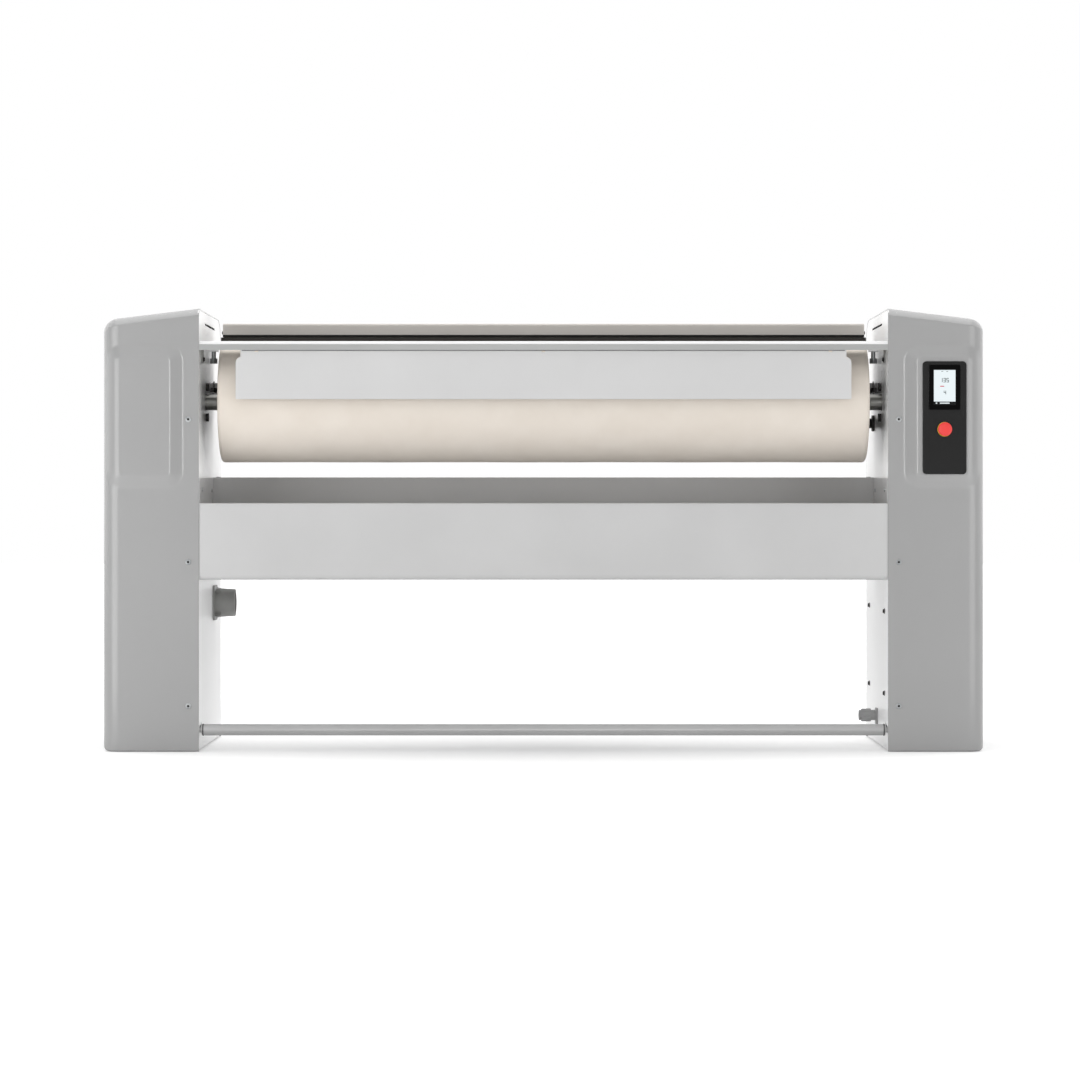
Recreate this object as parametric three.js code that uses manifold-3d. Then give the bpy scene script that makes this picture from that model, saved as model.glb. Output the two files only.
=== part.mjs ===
// Flatwork ironer with one padded roller and a heated chest that closes over the roller from
// behind. Linen is laid on the feed table, passes over the roller under the chest and drops
// into the tray. Millimetres, +Z up, front towards -Y, origin on the floor at the middle.
import * as THREE from 'three';
import { mergeVertices } from 'three/addons/utils/BufferGeometryUtils.js';
import Module from 'manifold-3d';

const wasm = await Module();
wasm.setup();

const LEFT = -1;
const RIGHT = 1;
const DEGREE = Math.PI / 180;
const FULL_TURN = 360;

// ---------------------------------------------------------------- clearances
const SEAT_GAP = 0.3; // between pieces that are bolted or seated together
const RUN_GAP = 0.4; // around pieces that turn or slide

// ---------------------------------------------------------------- roller
const ROLLER_RADIUS = 150;
const ROLLER_LENGTH = 1600;
const ROLLER_HEIGHT = 858; // axis above the floor
const ROLLER_SIDE_GAP = 40; // from the padding's end to the side frame
const ROLLER_FRONT_GAP = 34; // from the cover's face to the roller's front
const PADDING_THICK = 10;
const PADDING_EDGE = 9; // radius of the padding's soft end edges
const DRUM_WALL = 4;
const DRUM_SETBACK = 6;
const END_PLATE_THICK = 10;
const JOURNAL_RADIUS = 20;
const JOURNAL_BORE = 13;
const JOURNAL_FLANGE_RADIUS = 52;
const JOURNAL_FLANGE_THICK = 6;
const JOURNAL_REACH = 68; // beyond the side frame's inner face

// ---------------------------------------------------------------- cabinets
const CABINET_WIDTH = 236;
const COVER_DEPTH = 606;
const COVER_ABOVE_AXIS = 224; // top of the cover over the roller's axis
const TOP_FALL = 29; // how far the cover's top falls towards its outer side
const COVER_WALL = 3.5;
const COVER_EDGE_RADIUS = 40; // upright outer corners
const COVER_SHOULDER_RADIUS = 35; // top outer corner, seen from the front
const COVER_BROW_RADIUS = 16; // top front edge
const COVER_NAPE_RADIUS = 80; // top rear edge
const COVER_TOE_RADIUS = 12; // bottom outer corner
const COVER_LIP = 16; // inward lip under the outer side
const FLOOR_GAP = 4;
const FRAME_SHEET = 2.5;
const FRAME_FLANGE = 22;
const FRAME_CORNER = 4;
const PROFILE_STEPS = 5; // straight runs in each rounded corner of the side profile
const REAR_WINDOW_MARGIN = 12; // how far the rear panel laps over its window
const REAR_WINDOW_BOTTOM = 80;
const REAR_WINDOW_BELOW_AXIS = -20;
const REAR_SHEET = 1.5;
const VENT_COUNT = 7;
const VENT_PITCH = 22;
const VENT_HEIGHT = 7;
const BASE_SHEET = 4;
const BEAM_SIZE = 50;
const BEAM_WALL = 3;
const BEAM_FLANGE = 70;
const BEAM_FLANGE_THICK = 6;
const BEAM_BEHIND_PIVOT = 85;

// ---------------------------------------------------------------- raised pads and controls
const PAD_RISE = 10;
const PAD_INNER_MARGIN = 41; // from the side frame's inner face to the pad's outline
const PAD_OUTER_MARGIN = 10; // from the cover's outer side to the pad's outline
const PAD_BELOW_TOP = 90;
const PAD_HEIGHT = 348;
const PAD_BAND = 28; // width of the sloped band round the plateau
const PAD_OUTLINE_RADIUS = 40;
const PAD_PLATEAU_RADIUS = 18;
const PLATE_WIDTH = 107;
const PLATE_HEIGHT = 275;
const PLATE_THICK = 2;
const PLATE_CORNER = 9;
const PLATE_OFFSET = 5; // of the plate's middle from the plateau's, outwards
const BEZEL_WIDTH = 77;
const BEZEL_HEIGHT = 110;
const BEZEL_THICK = 2.5;
const BEZEL_ABOVE_PLATE_MIDDLE = 74;
const SCREEN_WIDTH = 53;
const SCREEN_HEIGHT = 85;
const SCREEN_THICK = 1.2;
const STOP_BELOW_PLATE_MIDDLE = 28;
const STOP_RADIUS = 17;
const STOP_HEAD = 6.5;
const STOP_STANDOUT = 13.7; // front of the button from the plate's face
const STOP_STEM_RADIUS = 8;
const STOP_COLLAR_RADIUS = 20;
const STOP_COLLAR_THICK = 3;
const STOP_NECK_WALL = 3;
const STOP_BLOCK = 34; // contact block behind the cover's face

// ---------------------------------------------------------------- feet
const FOOT_RADIUS = 24;
const STUD_RADIUS = 6;
const STUD_LENGTH = 34;
const NUT_ACROSS_CORNERS = 21;
const NUT_HEIGHT = 9;
const FOOT_FROM_FACE = 62;
const FOOT_FROM_SIDE = 118;

// ---------------------------------------------------------------- feed table and guard
const TABLE_BELOW_ROLLER_TOP = 6;
const TABLE_SHEET = 2;
const TABLE_LIP = 24.4;
const TABLE_NOSE_RADIUS = 7;
const TABLE_REAR_LIP = 14;
const TABLE_ROLLER_GAP = 5;
const TABLE_END_PLATE = 3;
const TABLE_END_DROP = 50;
const GUARD_HALF_WIDTH = 751;
const GUARD_SHOULDER = 12; // from the plate's end in to its neck
const GUARD_HEIGHT = 103.5;
const GUARD_BELOW_AXIS = -2.5;
const GUARD_SHEET = 2;
const GUARD_CORNER = 15;
const GUARD_FROM_FACE = 5;
const HINGE_ROD_RADIUS = 3;
const HINGE_CURL_WALL = 1.8;
const HINGE_LUG_WIDTH = 5;
const HINGE_LUG_ROOT = 4; // radius of the lug's rounded root, which ends inside the table's sheet
const HINGE_LUG_INSET = 39; // from the neck's end to the outer lugs

// ---------------------------------------------------------------- tray
const TRAY_SHEET = 1.5;
const TRAY_FLOOR = 420; // above the floor of the room
const TRAY_FRONT_TOP = 606;
const TRAY_REAR_TOP = 672;
const TRAY_BEND_RADIUS = 12;
const TRAY_HEM = 10;
const TRAY_FROM_FACE = 2;
const TRAY_BEFORE_PIVOT = 55;

// ---------------------------------------------------------------- chest
const CHEST_GAP = 3; // between the padding and the shoe, taken up by the linen
const CHEST_THICK = 12;
const CHEST_FROM = -30; // wrap, degrees up from straight behind the roller
const CHEST_TO = 80;
const CHEST_OVERHANG = 5; // beyond the padding's end
const HEATER_RADIUS = 6;
const HEATER_BOSS_RADIUS = 12;
const HEATER_ANGLES = [55, 12];
const HOOD_SHEET = 1.5;
const HOOD_FRONT_FROM_AXIS = 116;
const HOOD_BACK_FROM_AXIS = 224;
const HOOD_ABOVE_CHEST = 5;
const HOOD_FACE_HEIGHT = 31;
const HOOD_TAIL_BELOW_AXIS = 68;
const PIVOT_BEHIND_AXIS = 236;
const PIVOT_BELOW_AXIS = 218;
const OPEN_ANGLE = 8;
const TORSION_RADIUS = 17.5;
const HANGER_THICK = 8;
const HANGER_LUG_RADIUS = 24;
const STUB_RADIUS = 15;
const STUB_BEHIND_AXIS = 206;
const STUB_ABOVE_AXIS = 40;
const STOP_BAR_FROM_AXIS = 36; // front end of the hanger's stop bar, behind the axis
const STOP_BAR_HEIGHT = 13;
const STOP_BAR_OVER_JOURNAL = 6;
const ARM_FROM_FRAME = 38; // inner face of the cabinet arms from the side frame
const ARM_THICK = 8;
const ARM_HUB_RADIUS = 30;
const SLOT_GAP = 4; // round the stub in its slot
const STOP_BOLT_RADIUS = 5.5;
const STOP_BOLT_HEX = 21;
const STOP_BOLT_HEAD = 13;
const STOP_BOLT_ABOVE_AXIS = 100;
const STOP_BOLT_BEHIND_AXIS = 100;
const STOP_BRACKET_THICK = 4;

// ---------------------------------------------------------------- chest actuator
const LEVER_REACH = 90;
const LEVER_LUG_RADIUS = 16;
const LINK_PIN_RADIUS = 5;
const LINK_PIN_GAP = 1; // open pivot of the linkage
const ACTUATOR_RADIUS = 20;
const ACTUATOR_LENGTH = 190;
const ACTUATOR_ROD_RADIUS = 8;
const ACTUATOR_ROD_OUT = 62;
const ACTUATOR_MOTOR_RADIUS = 17;
const ACTUATOR_MOTOR_LENGTH = 110;
const FORK_CHEEK = 5;
const FORK_WIDTH = 20;

// ---------------------------------------------------------------- drive
const CHAIN_PITCH = 19.05;
const CHAIN_ROLLER_RADIUS = 6;
const CHAIN_PLATE_THICK = 2;
const CHAIN_PLATE_RADIUS = 8;
const DRIVEN_TEETH = 20;
const DRIVE_TEETH = 10;
const DRIVEN_WRAP = 12; // chain pitches lying on the driven sprocket
const DRIVE_WRAP = 4;
const STRAND_PITCHES = 6;
const SPROCKET_WIDTH = 10.6;
const TOOTH_HEIGHT = 4;
const FLANK_RELIEF = 2.2;
const CHAIN_FROM_FRAME = 57;
const DRIVEN_HUB_RADIUS = 30;
const DRIVE_HUB_RADIUS = 20;
const HUB_LENGTH = 12;
const WEB_HOLES = 5;
const WEB_HOLE_RADIUS = 8;
const DRIVE_SHAFT_RADIUS = 12;
const BEARING_RADIUS = 29;
const BEARING_DEPTH = 32;
const BEARING_FLANGE = 10;
const BEARING_LUG_RADIUS = 15;
const BOLT_SPREAD = 38;
const BOLT_RADIUS = 5;
const BOLT_HEAD_RADIUS = 10;
const BOLT_HEAD_HEIGHT = 7;
const BRACKET_THICK = 4;
const BRACKET_HALF = 96;
const SPACER_RADIUS = 8;
const GEARBOX_HALF = 58;
const GEARBOX_DEPTH = 74;
const WORM_DROP = 46;
const WORM_RADIUS = 34;
const MOTOR_RADIUS = 52;
const MOTOR_LENGTH = 175;
const MOTOR_FINS = 6;
const TERMINAL_BOX = 48;
const TERMINAL_RISE = 18;

// ---------------------------------------------------------------- vapour extraction
const FAN_BELOW_AXIS = 298;
const FAN_FROM_FRAME = 145;
const FAN_WIDTH = 58;
const FAN_WALL = 3;
const WHEEL_RADIUS = 56;
const WHEEL_BLADES = 11;
const SCROLL_START = 64;
const SCROLL_END = 122;
const SCROLL_NECK = 112;
const FAN_MOTOR_RADIUS = 28;
const DUCT_WALL = 3;
const DUCT_DROP_FROM_FRAME = 100;
const SPIGOT_HEIGHT = 354;
const SPIGOT_FROM_FACE = 407;
const SPIGOT_RADIUS = 36;
const SPIGOT_LENGTH = 55;
const SPIGOT_WALL = 4;
const SPIGOT_FLANGE = 89;
const HOSE_BORE = 30;
const HOSE_WALL = 3;
const HOSE_SLACK = 1.5; // between the fan's collar and the hose pushed over it
const FAN_COLLAR = 8;

// ---------------------------------------------------------------- pedal bar
const PEDAL_RADIUS = 14;
const PEDAL_HEIGHT = 53;
const PEDAL_FROM_FACE = 22;
const PEDAL_PIVOT_RISE = 152;
const PEDAL_SWING = 18;
const PEDAL_PIN_RADIUS = 7;
const PEDAL_END_GAP = 5;
const PEDAL_SLOT_GAP = 2;
const PEDAL_ARM_THICK = 6;
const PEDAL_ARM_FROM_FRAME = 10;
const PEDAL_HUB_RADIUS = 13;
const PEDAL_PIVOT_RADIUS = 8;
const SPRING_WIRE = 1.5;
const SPRING_TURNS = 4;
const SPRING_STEPS = 8; // straight runs in a turn

// ---------------------------------------------------------------- electrics
const BOX_DEPTH = 87;
const BOX_FROM_FACE = 75;
const BOX_LENGTH = 443;
const BOX_BOTTOM = 125;
const BOX_HEIGHT = 235;
const BOX_SHEET = 1.5;
const GLAND_FROM_FACE = 290;
const GLAND_HEIGHT = 74;
const GLAND_NECK_RADIUS = 13;
const GLAND_BORE = 8;
const GLAND_PLATE = 36;
const CONDUIT_FROM_FACE = 375;
const CONDUIT_BELOW_AXIS = 48;
const CONDUIT_RADIUS = 12.5;
const CONDUIT_FLANGE_RADIUS = 20.5;

// ---------------------------------------------------------------- places worked out from them
const PANEL_X = ROLLER_LENGTH / 2 + ROLLER_SIDE_GAP; // side frames' inner faces
const OUTER_X = PANEL_X + CABINET_WIDTH;
const BEHIND_FRAME = PANEL_X + FRAME_SHEET; // side frames' faces inside the cabinets
const STANDOUT = PAD_RISE + SEAT_GAP + PLATE_THICK + STOP_STANDOUT;
const REAR_Y = (COVER_DEPTH + STANDOUT) / 2;
const FACE_Y = REAR_Y - COVER_DEPTH; // front face of the covers
const ROLLER_Y = FACE_Y + ROLLER_FRONT_GAP + ROLLER_RADIUS;
const ROLLER_Z = ROLLER_HEIGHT;
const TOP_Z = ROLLER_Z + COVER_ABOVE_AXIS;
const TOP_SLOPE = TOP_FALL / CABINET_WIDTH;
const FRAME_FRONT = FACE_Y + COVER_WALL + SEAT_GAP;
const FRAME_REAR = REAR_Y - COVER_WALL - SEAT_GAP;
const FRAME_BOTTOM = FLOOR_GAP + 1;
const FRAME_TOP = TOP_Z - COVER_WALL - TOP_SLOPE * FRAME_FLANGE - 2 * SEAT_GAP;
const BASE_Z = FRAME_BOTTOM + FRAME_SHEET + SEAT_GAP;
const PAD_TOP = TOP_Z - PAD_BELOW_TOP;
const PAD_BOTTOM = PAD_TOP - PAD_HEIGHT;
const PAD_X0 = PANEL_X + PAD_INNER_MARGIN;
const PAD_X1 = OUTER_X - PAD_OUTER_MARGIN;
const PLATE_X = (PAD_X0 + PAD_X1) / 2 + PLATE_OFFSET - 2;
const PLATE_Z = (PAD_TOP + PAD_BOTTOM) / 2 - 3.5;
const PAD_FACE = FACE_Y - PAD_RISE;
const PLATE_FACE = PAD_FACE - SEAT_GAP - PLATE_THICK;
const STOP_Z = PLATE_Z - STOP_BELOW_PLATE_MIDDLE;
const BEZEL_Z = PLATE_Z + BEZEL_ABOVE_PLATE_MIDDLE;
const TABLE_TOP = ROLLER_Z + ROLLER_RADIUS - TABLE_BELOW_ROLLER_TOP;
const GUARD_NECK = GUARD_HALF_WIDTH - GUARD_SHOULDER; // half of the neck's width
const PIVOT_Y = ROLLER_Y + PIVOT_BEHIND_AXIS;
const PIVOT_Z = ROLLER_Z - PIVOT_BELOW_AXIS;
const STUB_Y = ROLLER_Y + STUB_BEHIND_AXIS;
const STUB_Z = ROLLER_Z + STUB_ABOVE_AXIS;
const CHEST_BORE = ROLLER_RADIUS + CHEST_GAP;
const CHEST_OUTER = CHEST_BORE + CHEST_THICK;
const CHEST_HALF = ROLLER_LENGTH / 2 + CHEST_OVERHANG;
const ARM_INNER = PANEL_X + ARM_FROM_FRAME;
const ARM_OUTER = ARM_INNER + ARM_THICK;
const LEVER_Y = PIVOT_Y + LEVER_REACH * Math.cos(OPEN_ANGLE * DEGREE / 2);
const LEVER_Z = PIVOT_Z + LEVER_REACH * Math.sin(OPEN_ANGLE * DEGREE / 2);
const CHAIN_X = PANEL_X + CHAIN_FROM_FRAME;
const PEDAL_Y = FACE_Y + PEDAL_FROM_FACE;
const PEDAL_PIVOT_Z = PEDAL_HEIGHT + PEDAL_PIVOT_RISE;
const FAN_X = PANEL_X + FAN_FROM_FRAME;
const FAN_Z = ROLLER_Z - FAN_BELOW_AXIS;

// ---------------------------------------------------------------- solids
/** Turns a closed three.js geometry into a manifold solid that faces outwards. */
function solid(geometry) {
  const bare = geometry.clone();
  bare.deleteAttribute('normal');
  bare.deleteAttribute('uv');
  const merged = mergeVertices(bare, 1e-4);
  const points = merged.attributes.position.array;
  const corners = [];
  for (let i = 0; i < merged.index.count; i += 3) {
    const [a, b, c] = merged.index.array.slice(i, i + 3);
    if (a !== b && b !== c && c !== a) corners.push(a, b, c);
  }
  if (signedVolume(points, corners) < 0) corners.reverse();
  const mesh = new wasm.Mesh({
    numProp: 3,
    vertProperties: new Float32Array(points),
    triVerts: new Uint32Array(corners),
  });
  return new wasm.Manifold(mesh);
}

function signedVolume(points, corners) {
  const [a, b, c] = [new THREE.Vector3(), new THREE.Vector3(), new THREE.Vector3()];
  let volume = 0;
  for (let i = 0; i < corners.length; i += 3) {
    a.fromArray(points, corners[i] * 3);
    b.fromArray(points, corners[i + 1] * 3);
    c.fromArray(points, corners[i + 2] * 3);
    volume += a.dot(b.cross(c)) / 6;
  }
  return volume;
}

/** Turns a manifold solid back into a three.js geometry. */
function geometryOf(body) {
  const mesh = body.getMesh();
  const geometry = new THREE.BufferGeometry();
  geometry.setAttribute('position', new THREE.BufferAttribute(mesh.vertProperties, 3));
  geometry.setIndex(new THREE.BufferAttribute(mesh.triVerts, 1));
  const flat = geometry.toNonIndexed();
  flat.computeVertexNormals();
  return flat;
}

const join = (...bodies) => bodies.reduce((whole, next) => whole.add(next));
const cut = (body, ...tools) => tools.reduce((rest, tool) => rest.subtract(tool), body);

// ---------------------------------------------------------------- outlines
/** Points on an arc, from one angle to another in degrees. */
function arc(centreU, centreV, radius, from, to, steps) {
  return Array.from({ length: steps + 1 }, (_, i) => {
    const angle = (from + ((to - from) * i) / steps) * DEGREE;
    return [centreU + radius * Math.cos(angle), centreV + radius * Math.sin(angle)];
  });
}

/** Points round a full circle, without the first one repeated. */
const circle = (radius, sides) => arc(0, 0, radius, 0, FULL_TURN * (1 - 1 / sides), sides - 1);

/** Rounds the corners of a path. Each corner is [u, v, radius]; a radius of 0 stays sharp. */
function rounded(corners, steps = 4, closed = true) {
  const points = [];
  corners.forEach(([u, v, radius = 0], i) => {
    const isEnd = !closed && (i === 0 || i === corners.length - 1);
    if (radius <= 0 || isEnd) {
      points.push([u, v]);
      return;
    }
    const before = corners[(i + corners.length - 1) % corners.length];
    const after = corners[(i + 1) % corners.length];
    const here = new THREE.Vector2(u, v);
    const back = new THREE.Vector2(before[0], before[1]).sub(here).normalize();
    const ahead = new THREE.Vector2(after[0], after[1]).sub(here).normalize();
    const half = Math.acos(THREE.MathUtils.clamp(back.dot(ahead), -1, 1)) / 2;
    const middle = back.clone().add(ahead).normalize().multiplyScalar(radius / Math.sin(half));
    const centre = here.clone().add(middle);
    const start = here.clone().addScaledVector(back, radius / Math.tan(half)).sub(centre);
    const end = here.clone().addScaledVector(ahead, radius / Math.tan(half)).sub(centre);
    const sweep = Math.atan2(start.cross(end), start.dot(end));
    for (let k = 0; k <= steps; k += 1) {
      const point = start.clone().rotateAround(new THREE.Vector2(), (sweep * k) / steps);
      points.push([point.x + centre.x, point.y + centre.y]);
    }
  });
  return points;
}

const rectangle = (u0, u1, v0, v1, radius = 0, steps = 4) =>
  rounded([[u0, v0, radius], [u1, v0, radius], [u1, v1, radius], [u0, v1, radius]], steps);

/** Outline of a bent sheet: a band of even thickness along an open path. */
function sheet(path, thickness) {
  const sides = [[], []];
  path.forEach(([u, v], i) => {
    const here = new THREE.Vector2(u, v);
    const before = i > 0 ? here.clone().sub(new THREE.Vector2(...path[i - 1])).normalize() : null;
    const next = i < path.length - 1 ? new THREE.Vector2(...path[i + 1]).sub(here).normalize() : null;
    const along = (before ?? next).clone().add(next ?? before).normalize();
    const across = new THREE.Vector2(-along.y, along.x);
    const stretch = 1 / along.dot(next ?? before);
    sides.forEach((side, k) => {
      const shift = (k === 0 ? 0.5 : -0.5) * thickness * stretch;
      side.push([u + across.x * shift, v + across.y * shift]);
    });
  });
  return [...sides[0], ...sides[1].reverse()];
}

/** Outline of a link: two round ends of different size joined by their common tangents. */
function link(first, firstRadius, second, secondRadius, steps = 4) {
  const [du, dv] = [second[0] - first[0], second[1] - first[1]];
  const heading = Math.atan2(dv, du) / DEGREE;
  const tilt = Math.acos((firstRadius - secondRadius) / Math.hypot(du, dv)) / DEGREE;
  const near = arc(first[0], first[1], firstRadius, heading + tilt, heading + FULL_TURN - tilt, steps);
  const far = arc(second[0], second[1], secondRadius, heading - tilt, heading + tilt, steps);
  return [...near, ...far];
}

// ---------------------------------------------------------------- placed shapes
/** Points as vectors that run clockwise or counterclockwise. */
function wound(points, clockwise) {
  const vectors = points.map(([u, v]) => new THREE.Vector2(u, v));
  return THREE.ShapeUtils.isClockWise(vectors) === clockwise ? vectors : vectors.reverse();
}

function extruded(points, holes, from, to, basis, along) {
  const shape = new THREE.Shape(wound(points, false));
  shape.holes = holes.map((hole) => new THREE.Path(wound(hole, true)));
  const depth = Math.abs(to - from);
  const geometry = new THREE.ExtrudeGeometry(shape, { depth, bevelEnabled: false, steps: 1 });
  geometry.applyMatrix4(basis);
  geometry.translate(...along.clone().multiplyScalar(Math.min(from, to)).toArray());
  return solid(geometry);
}

const AXIS = {
  x: new THREE.Vector3(1, 0, 0),
  y: new THREE.Vector3(0, 1, 0),
  z: new THREE.Vector3(0, 0, 1),
};
const BASIS = {
  x: new THREE.Matrix4().makeBasis(AXIS.y, AXIS.z, AXIS.x), // outline in Y and Z
  y: new THREE.Matrix4().makeBasis(AXIS.x, AXIS.z, AXIS.y), // outline in X and Z
  z: new THREE.Matrix4().makeBasis(AXIS.x, AXIS.y, AXIS.z), // outline in X and Y
};

/** A prism along X, Y or Z between two values, over an outline in the other two axes. */
const prism = (axis, points, from, to, holes = []) =>
  extruded(points, holes, from, to, BASIS[axis], AXIS[axis]);

function block(x0, x1, y0, y1, z0, z1) {
  const geometry = new THREE.BoxGeometry(Math.abs(x1 - x0), Math.abs(y1 - y0), Math.abs(z1 - z0));
  geometry.translate((x0 + x1) / 2, (y0 + y1) / 2, (z0 + z1) / 2);
  return solid(geometry);
}

/** A round or many-sided rod along an axis, between two values, through a point across it. */
function rod(axis, radius, from, to, across, sides = 14) {
  const geometry = new THREE.CylinderGeometry(radius, radius, Math.abs(to - from), sides);
  const middle = (from + to) / 2;
  if (axis === 'x') geometry.rotateZ(-90 * DEGREE).translate(middle, across[0], across[1]);
  if (axis === 'y') geometry.translate(across[0], middle, across[1]);
  if (axis === 'z') geometry.rotateX(90 * DEGREE).translate(across[0], across[1], middle);
  return solid(geometry);
}

/** Radius of a many-sided bore whose flats clear a round shaft by a gap. */
const boreFor = (radius, gap, sides = 12) => (radius + gap) / Math.cos(Math.PI / sides);

/** A tool that cuts a bore for a shaft. */
const bore = (axis, radius, gap, from, to, across, sides = 12) =>
  rod(axis, boreFor(radius, gap, sides), from, to, across, sides);

/** A turned piece along X or Z from a profile of [distance along, radius] pairs. */
function turned(axis, profile, across, sides = 24) {
  const outline = profile.map(([along, radius]) => new THREE.Vector2(radius, along));
  const geometry = new THREE.LatheGeometry(outline, sides);
  if (axis === 'x') geometry.rotateZ(-90 * DEGREE).translate(0, across[0], across[1]);
  if (axis === 'z') geometry.rotateX(90 * DEGREE).translate(across[0], across[1], 0);
  return solid(geometry);
}

/** A round pipe with a bore along a curve. */
function pipe(curve, boreRadius, wall, steps, sides = 12) {
  const ring = (radius) => circle(radius, sides).map(([u, v]) => new THREE.Vector2(u, v));
  const shape = new THREE.Shape(ring(boreRadius + wall));
  shape.holes = [new THREE.Path(ring(boreRadius))];
  return solid(new THREE.ExtrudeGeometry(shape, { steps, extrudePath: curve, bevelEnabled: false }));
}

/** A round rod along a route in a plane of constant Y, with rings only where the route bends. */
function flatRod(route, radius, bendSteps, sides = 16) {
  const stations = route.getPoints(bendSteps);
  const rings = stations.map((here, i) => {
    const before = i > 0 ? here.clone().sub(stations[i - 1]).normalize() : null;
    const next = i < stations.length - 1 ? stations[i + 1].clone().sub(here).normalize() : null;
    const along = (before ?? next).clone().add(next ?? before).normalize();
    const stretch = 1 / along.dot(next ?? before);
    const across = new THREE.Vector3().crossVectors(along, AXIS.y);
    return circle(radius, sides).map(([u, v]) =>
      here.clone().addScaledVector(across, u * stretch).addScaledVector(AXIS.y, v).toArray());
  });
  return loft(rings);
}

/** A closed skin through rings of equal count, capped by fans at both ends. */
function loft(rings) {
  const count = rings[0].length;
  const points = rings.flat();
  const faces = [];
  for (let r = 0; r < rings.length - 1; r += 1) {
    for (let i = 0; i < count; i += 1) {
      const [a, b] = [r * count + i, r * count + ((i + 1) % count)];
      faces.push(a, b, b + count, a, b + count, a + count);
    }
  }
  [0, rings.length - 1].forEach((r) => {
    const centre = points.length;
    const sum = rings[r].reduce((total, p) => total.map((value, k) => value + p[k]), [0, 0, 0]);
    points.push(sum.map((value) => value / count));
    for (let i = 0; i < count; i += 1) {
      const [a, b] = [r * count + i, r * count + ((i + 1) % count)];
      faces.push(...(r === 0 ? [centre, b, a] : [centre, a, b]));
    }
  });
  const geometry = new THREE.BufferGeometry();
  geometry.setAttribute('position', new THREE.Float32BufferAttribute(points.flat(), 3));
  geometry.setIndex(faces);
  return solid(geometry);
}

// ---------------------------------------------------------------- finishes
const finish = (color, roughness, metalness) => ({ color, roughness, metalness });
const FINISH = {
  cover: finish('#a8a8a8', 0.45, 0),
  whiteSheet: finish('#ececec', 0.35, 0),
  greySheet: finish('#c6c7c6', 0.4, 0.2),
  guard: finish('#d5d5d5', 0.4, 0),
  tray: finish('#cccccc', 0.4, 0.1),
  hood: finish('#b0aca8', 0.5, 0),
  padding: finish('#e3dcd2', 0.9, 0),
  steel: finish('#70706c', 0.35, 0.9),
  darkSteel: finish('#3a3a3a', 0.5, 0.6),
  zinc: finish('#b8babb', 0.35, 0.8),
  aluminium: finish('#9b9b98', 0.4, 0.8),
  blackShoe: finish('#26231f', 0.5, 0.4),
  rubber: finish('#2b2b2b', 0.9, 0),
  plate: finish('#323232', 0.45, 0),
  black: finish('#101010', 0.3, 0),
  screen: finish('#f4fcfe', 0.2, 0),
  red: finish('#ff4a45', 0.4, 0),
  yellow: finish('#e8c21c', 0.5, 0),
  pedal: finish('#a6a6a6', 0.4, 0.3),
  spigot: finish('#8a8a8a', 0.6, 0),
  gland: finish('#a0a0a0', 0.55, 0),
};

const group = new THREE.Group();

function addPart(name, body, look) {
  const mesh = new THREE.Mesh(geometryOf(body), new THREE.MeshStandardMaterial(look));
  mesh.name = name;
  group.add(mesh);
}

const sideName = (side) => (side === LEFT ? 'left' : 'right');

// ---------------------------------------------------------------- covers
/** The cover's outside, or its hollow when inset by the wall. */
function coverBlock(side, inset) {
  const innerX = inset > 0 ? PANEL_X - 1 : PANEL_X;
  const outerX = OUTER_X - inset;
  const [front, rear] = [FACE_Y + inset, REAR_Y - inset];
  const [top, bottom] = [TOP_Z - inset, FLOOR_GAP + inset];
  const lift = (x) => top - TOP_SLOPE * (x - PANEL_X);
  const frontView = rounded([
    [side * innerX, bottom],
    [side * outerX, bottom, COVER_TOE_RADIUS - inset],
    [side * outerX, lift(outerX), COVER_SHOULDER_RADIUS - inset],
    [side * innerX, lift(innerX)],
  ], 4);
  const plan = rounded([
    [side * innerX, front],
    [side * outerX, front, COVER_EDGE_RADIUS - inset],
    [side * outerX, rear, COVER_EDGE_RADIUS - inset],
    [side * innerX, rear],
  ], 5);
  const sideView = rounded([
    [front, bottom],
    [rear, bottom],
    [rear, top, COVER_NAPE_RADIUS - inset],
    [front, top, COVER_BROW_RADIUS - inset],
  ], PROFILE_STEPS);
  const shear = new THREE.Matrix4();
  shear.elements[2] = -side * TOP_SLOPE;
  shear.elements[14] = TOP_SLOPE * PANEL_X;
  const reach = 2 * COVER_SHOULDER_RADIUS;
  const brow = geometryOf(prism('x', sideView, side * (innerX - reach), side * (outerX + reach)));
  // The sheared profile must reach the straight bottom, so a plain block is joined below it.
  const lower = block(side * (innerX - reach), side * (outerX + reach), front, rear, bottom, top / 2);
  const sloped = join(solid(brow.applyMatrix4(shear)), lower);
  return prism('y', frontView, front, rear)
    .intersect(prism('z', plan, bottom, top + reach))
    .intersect(sloped);
}

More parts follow.
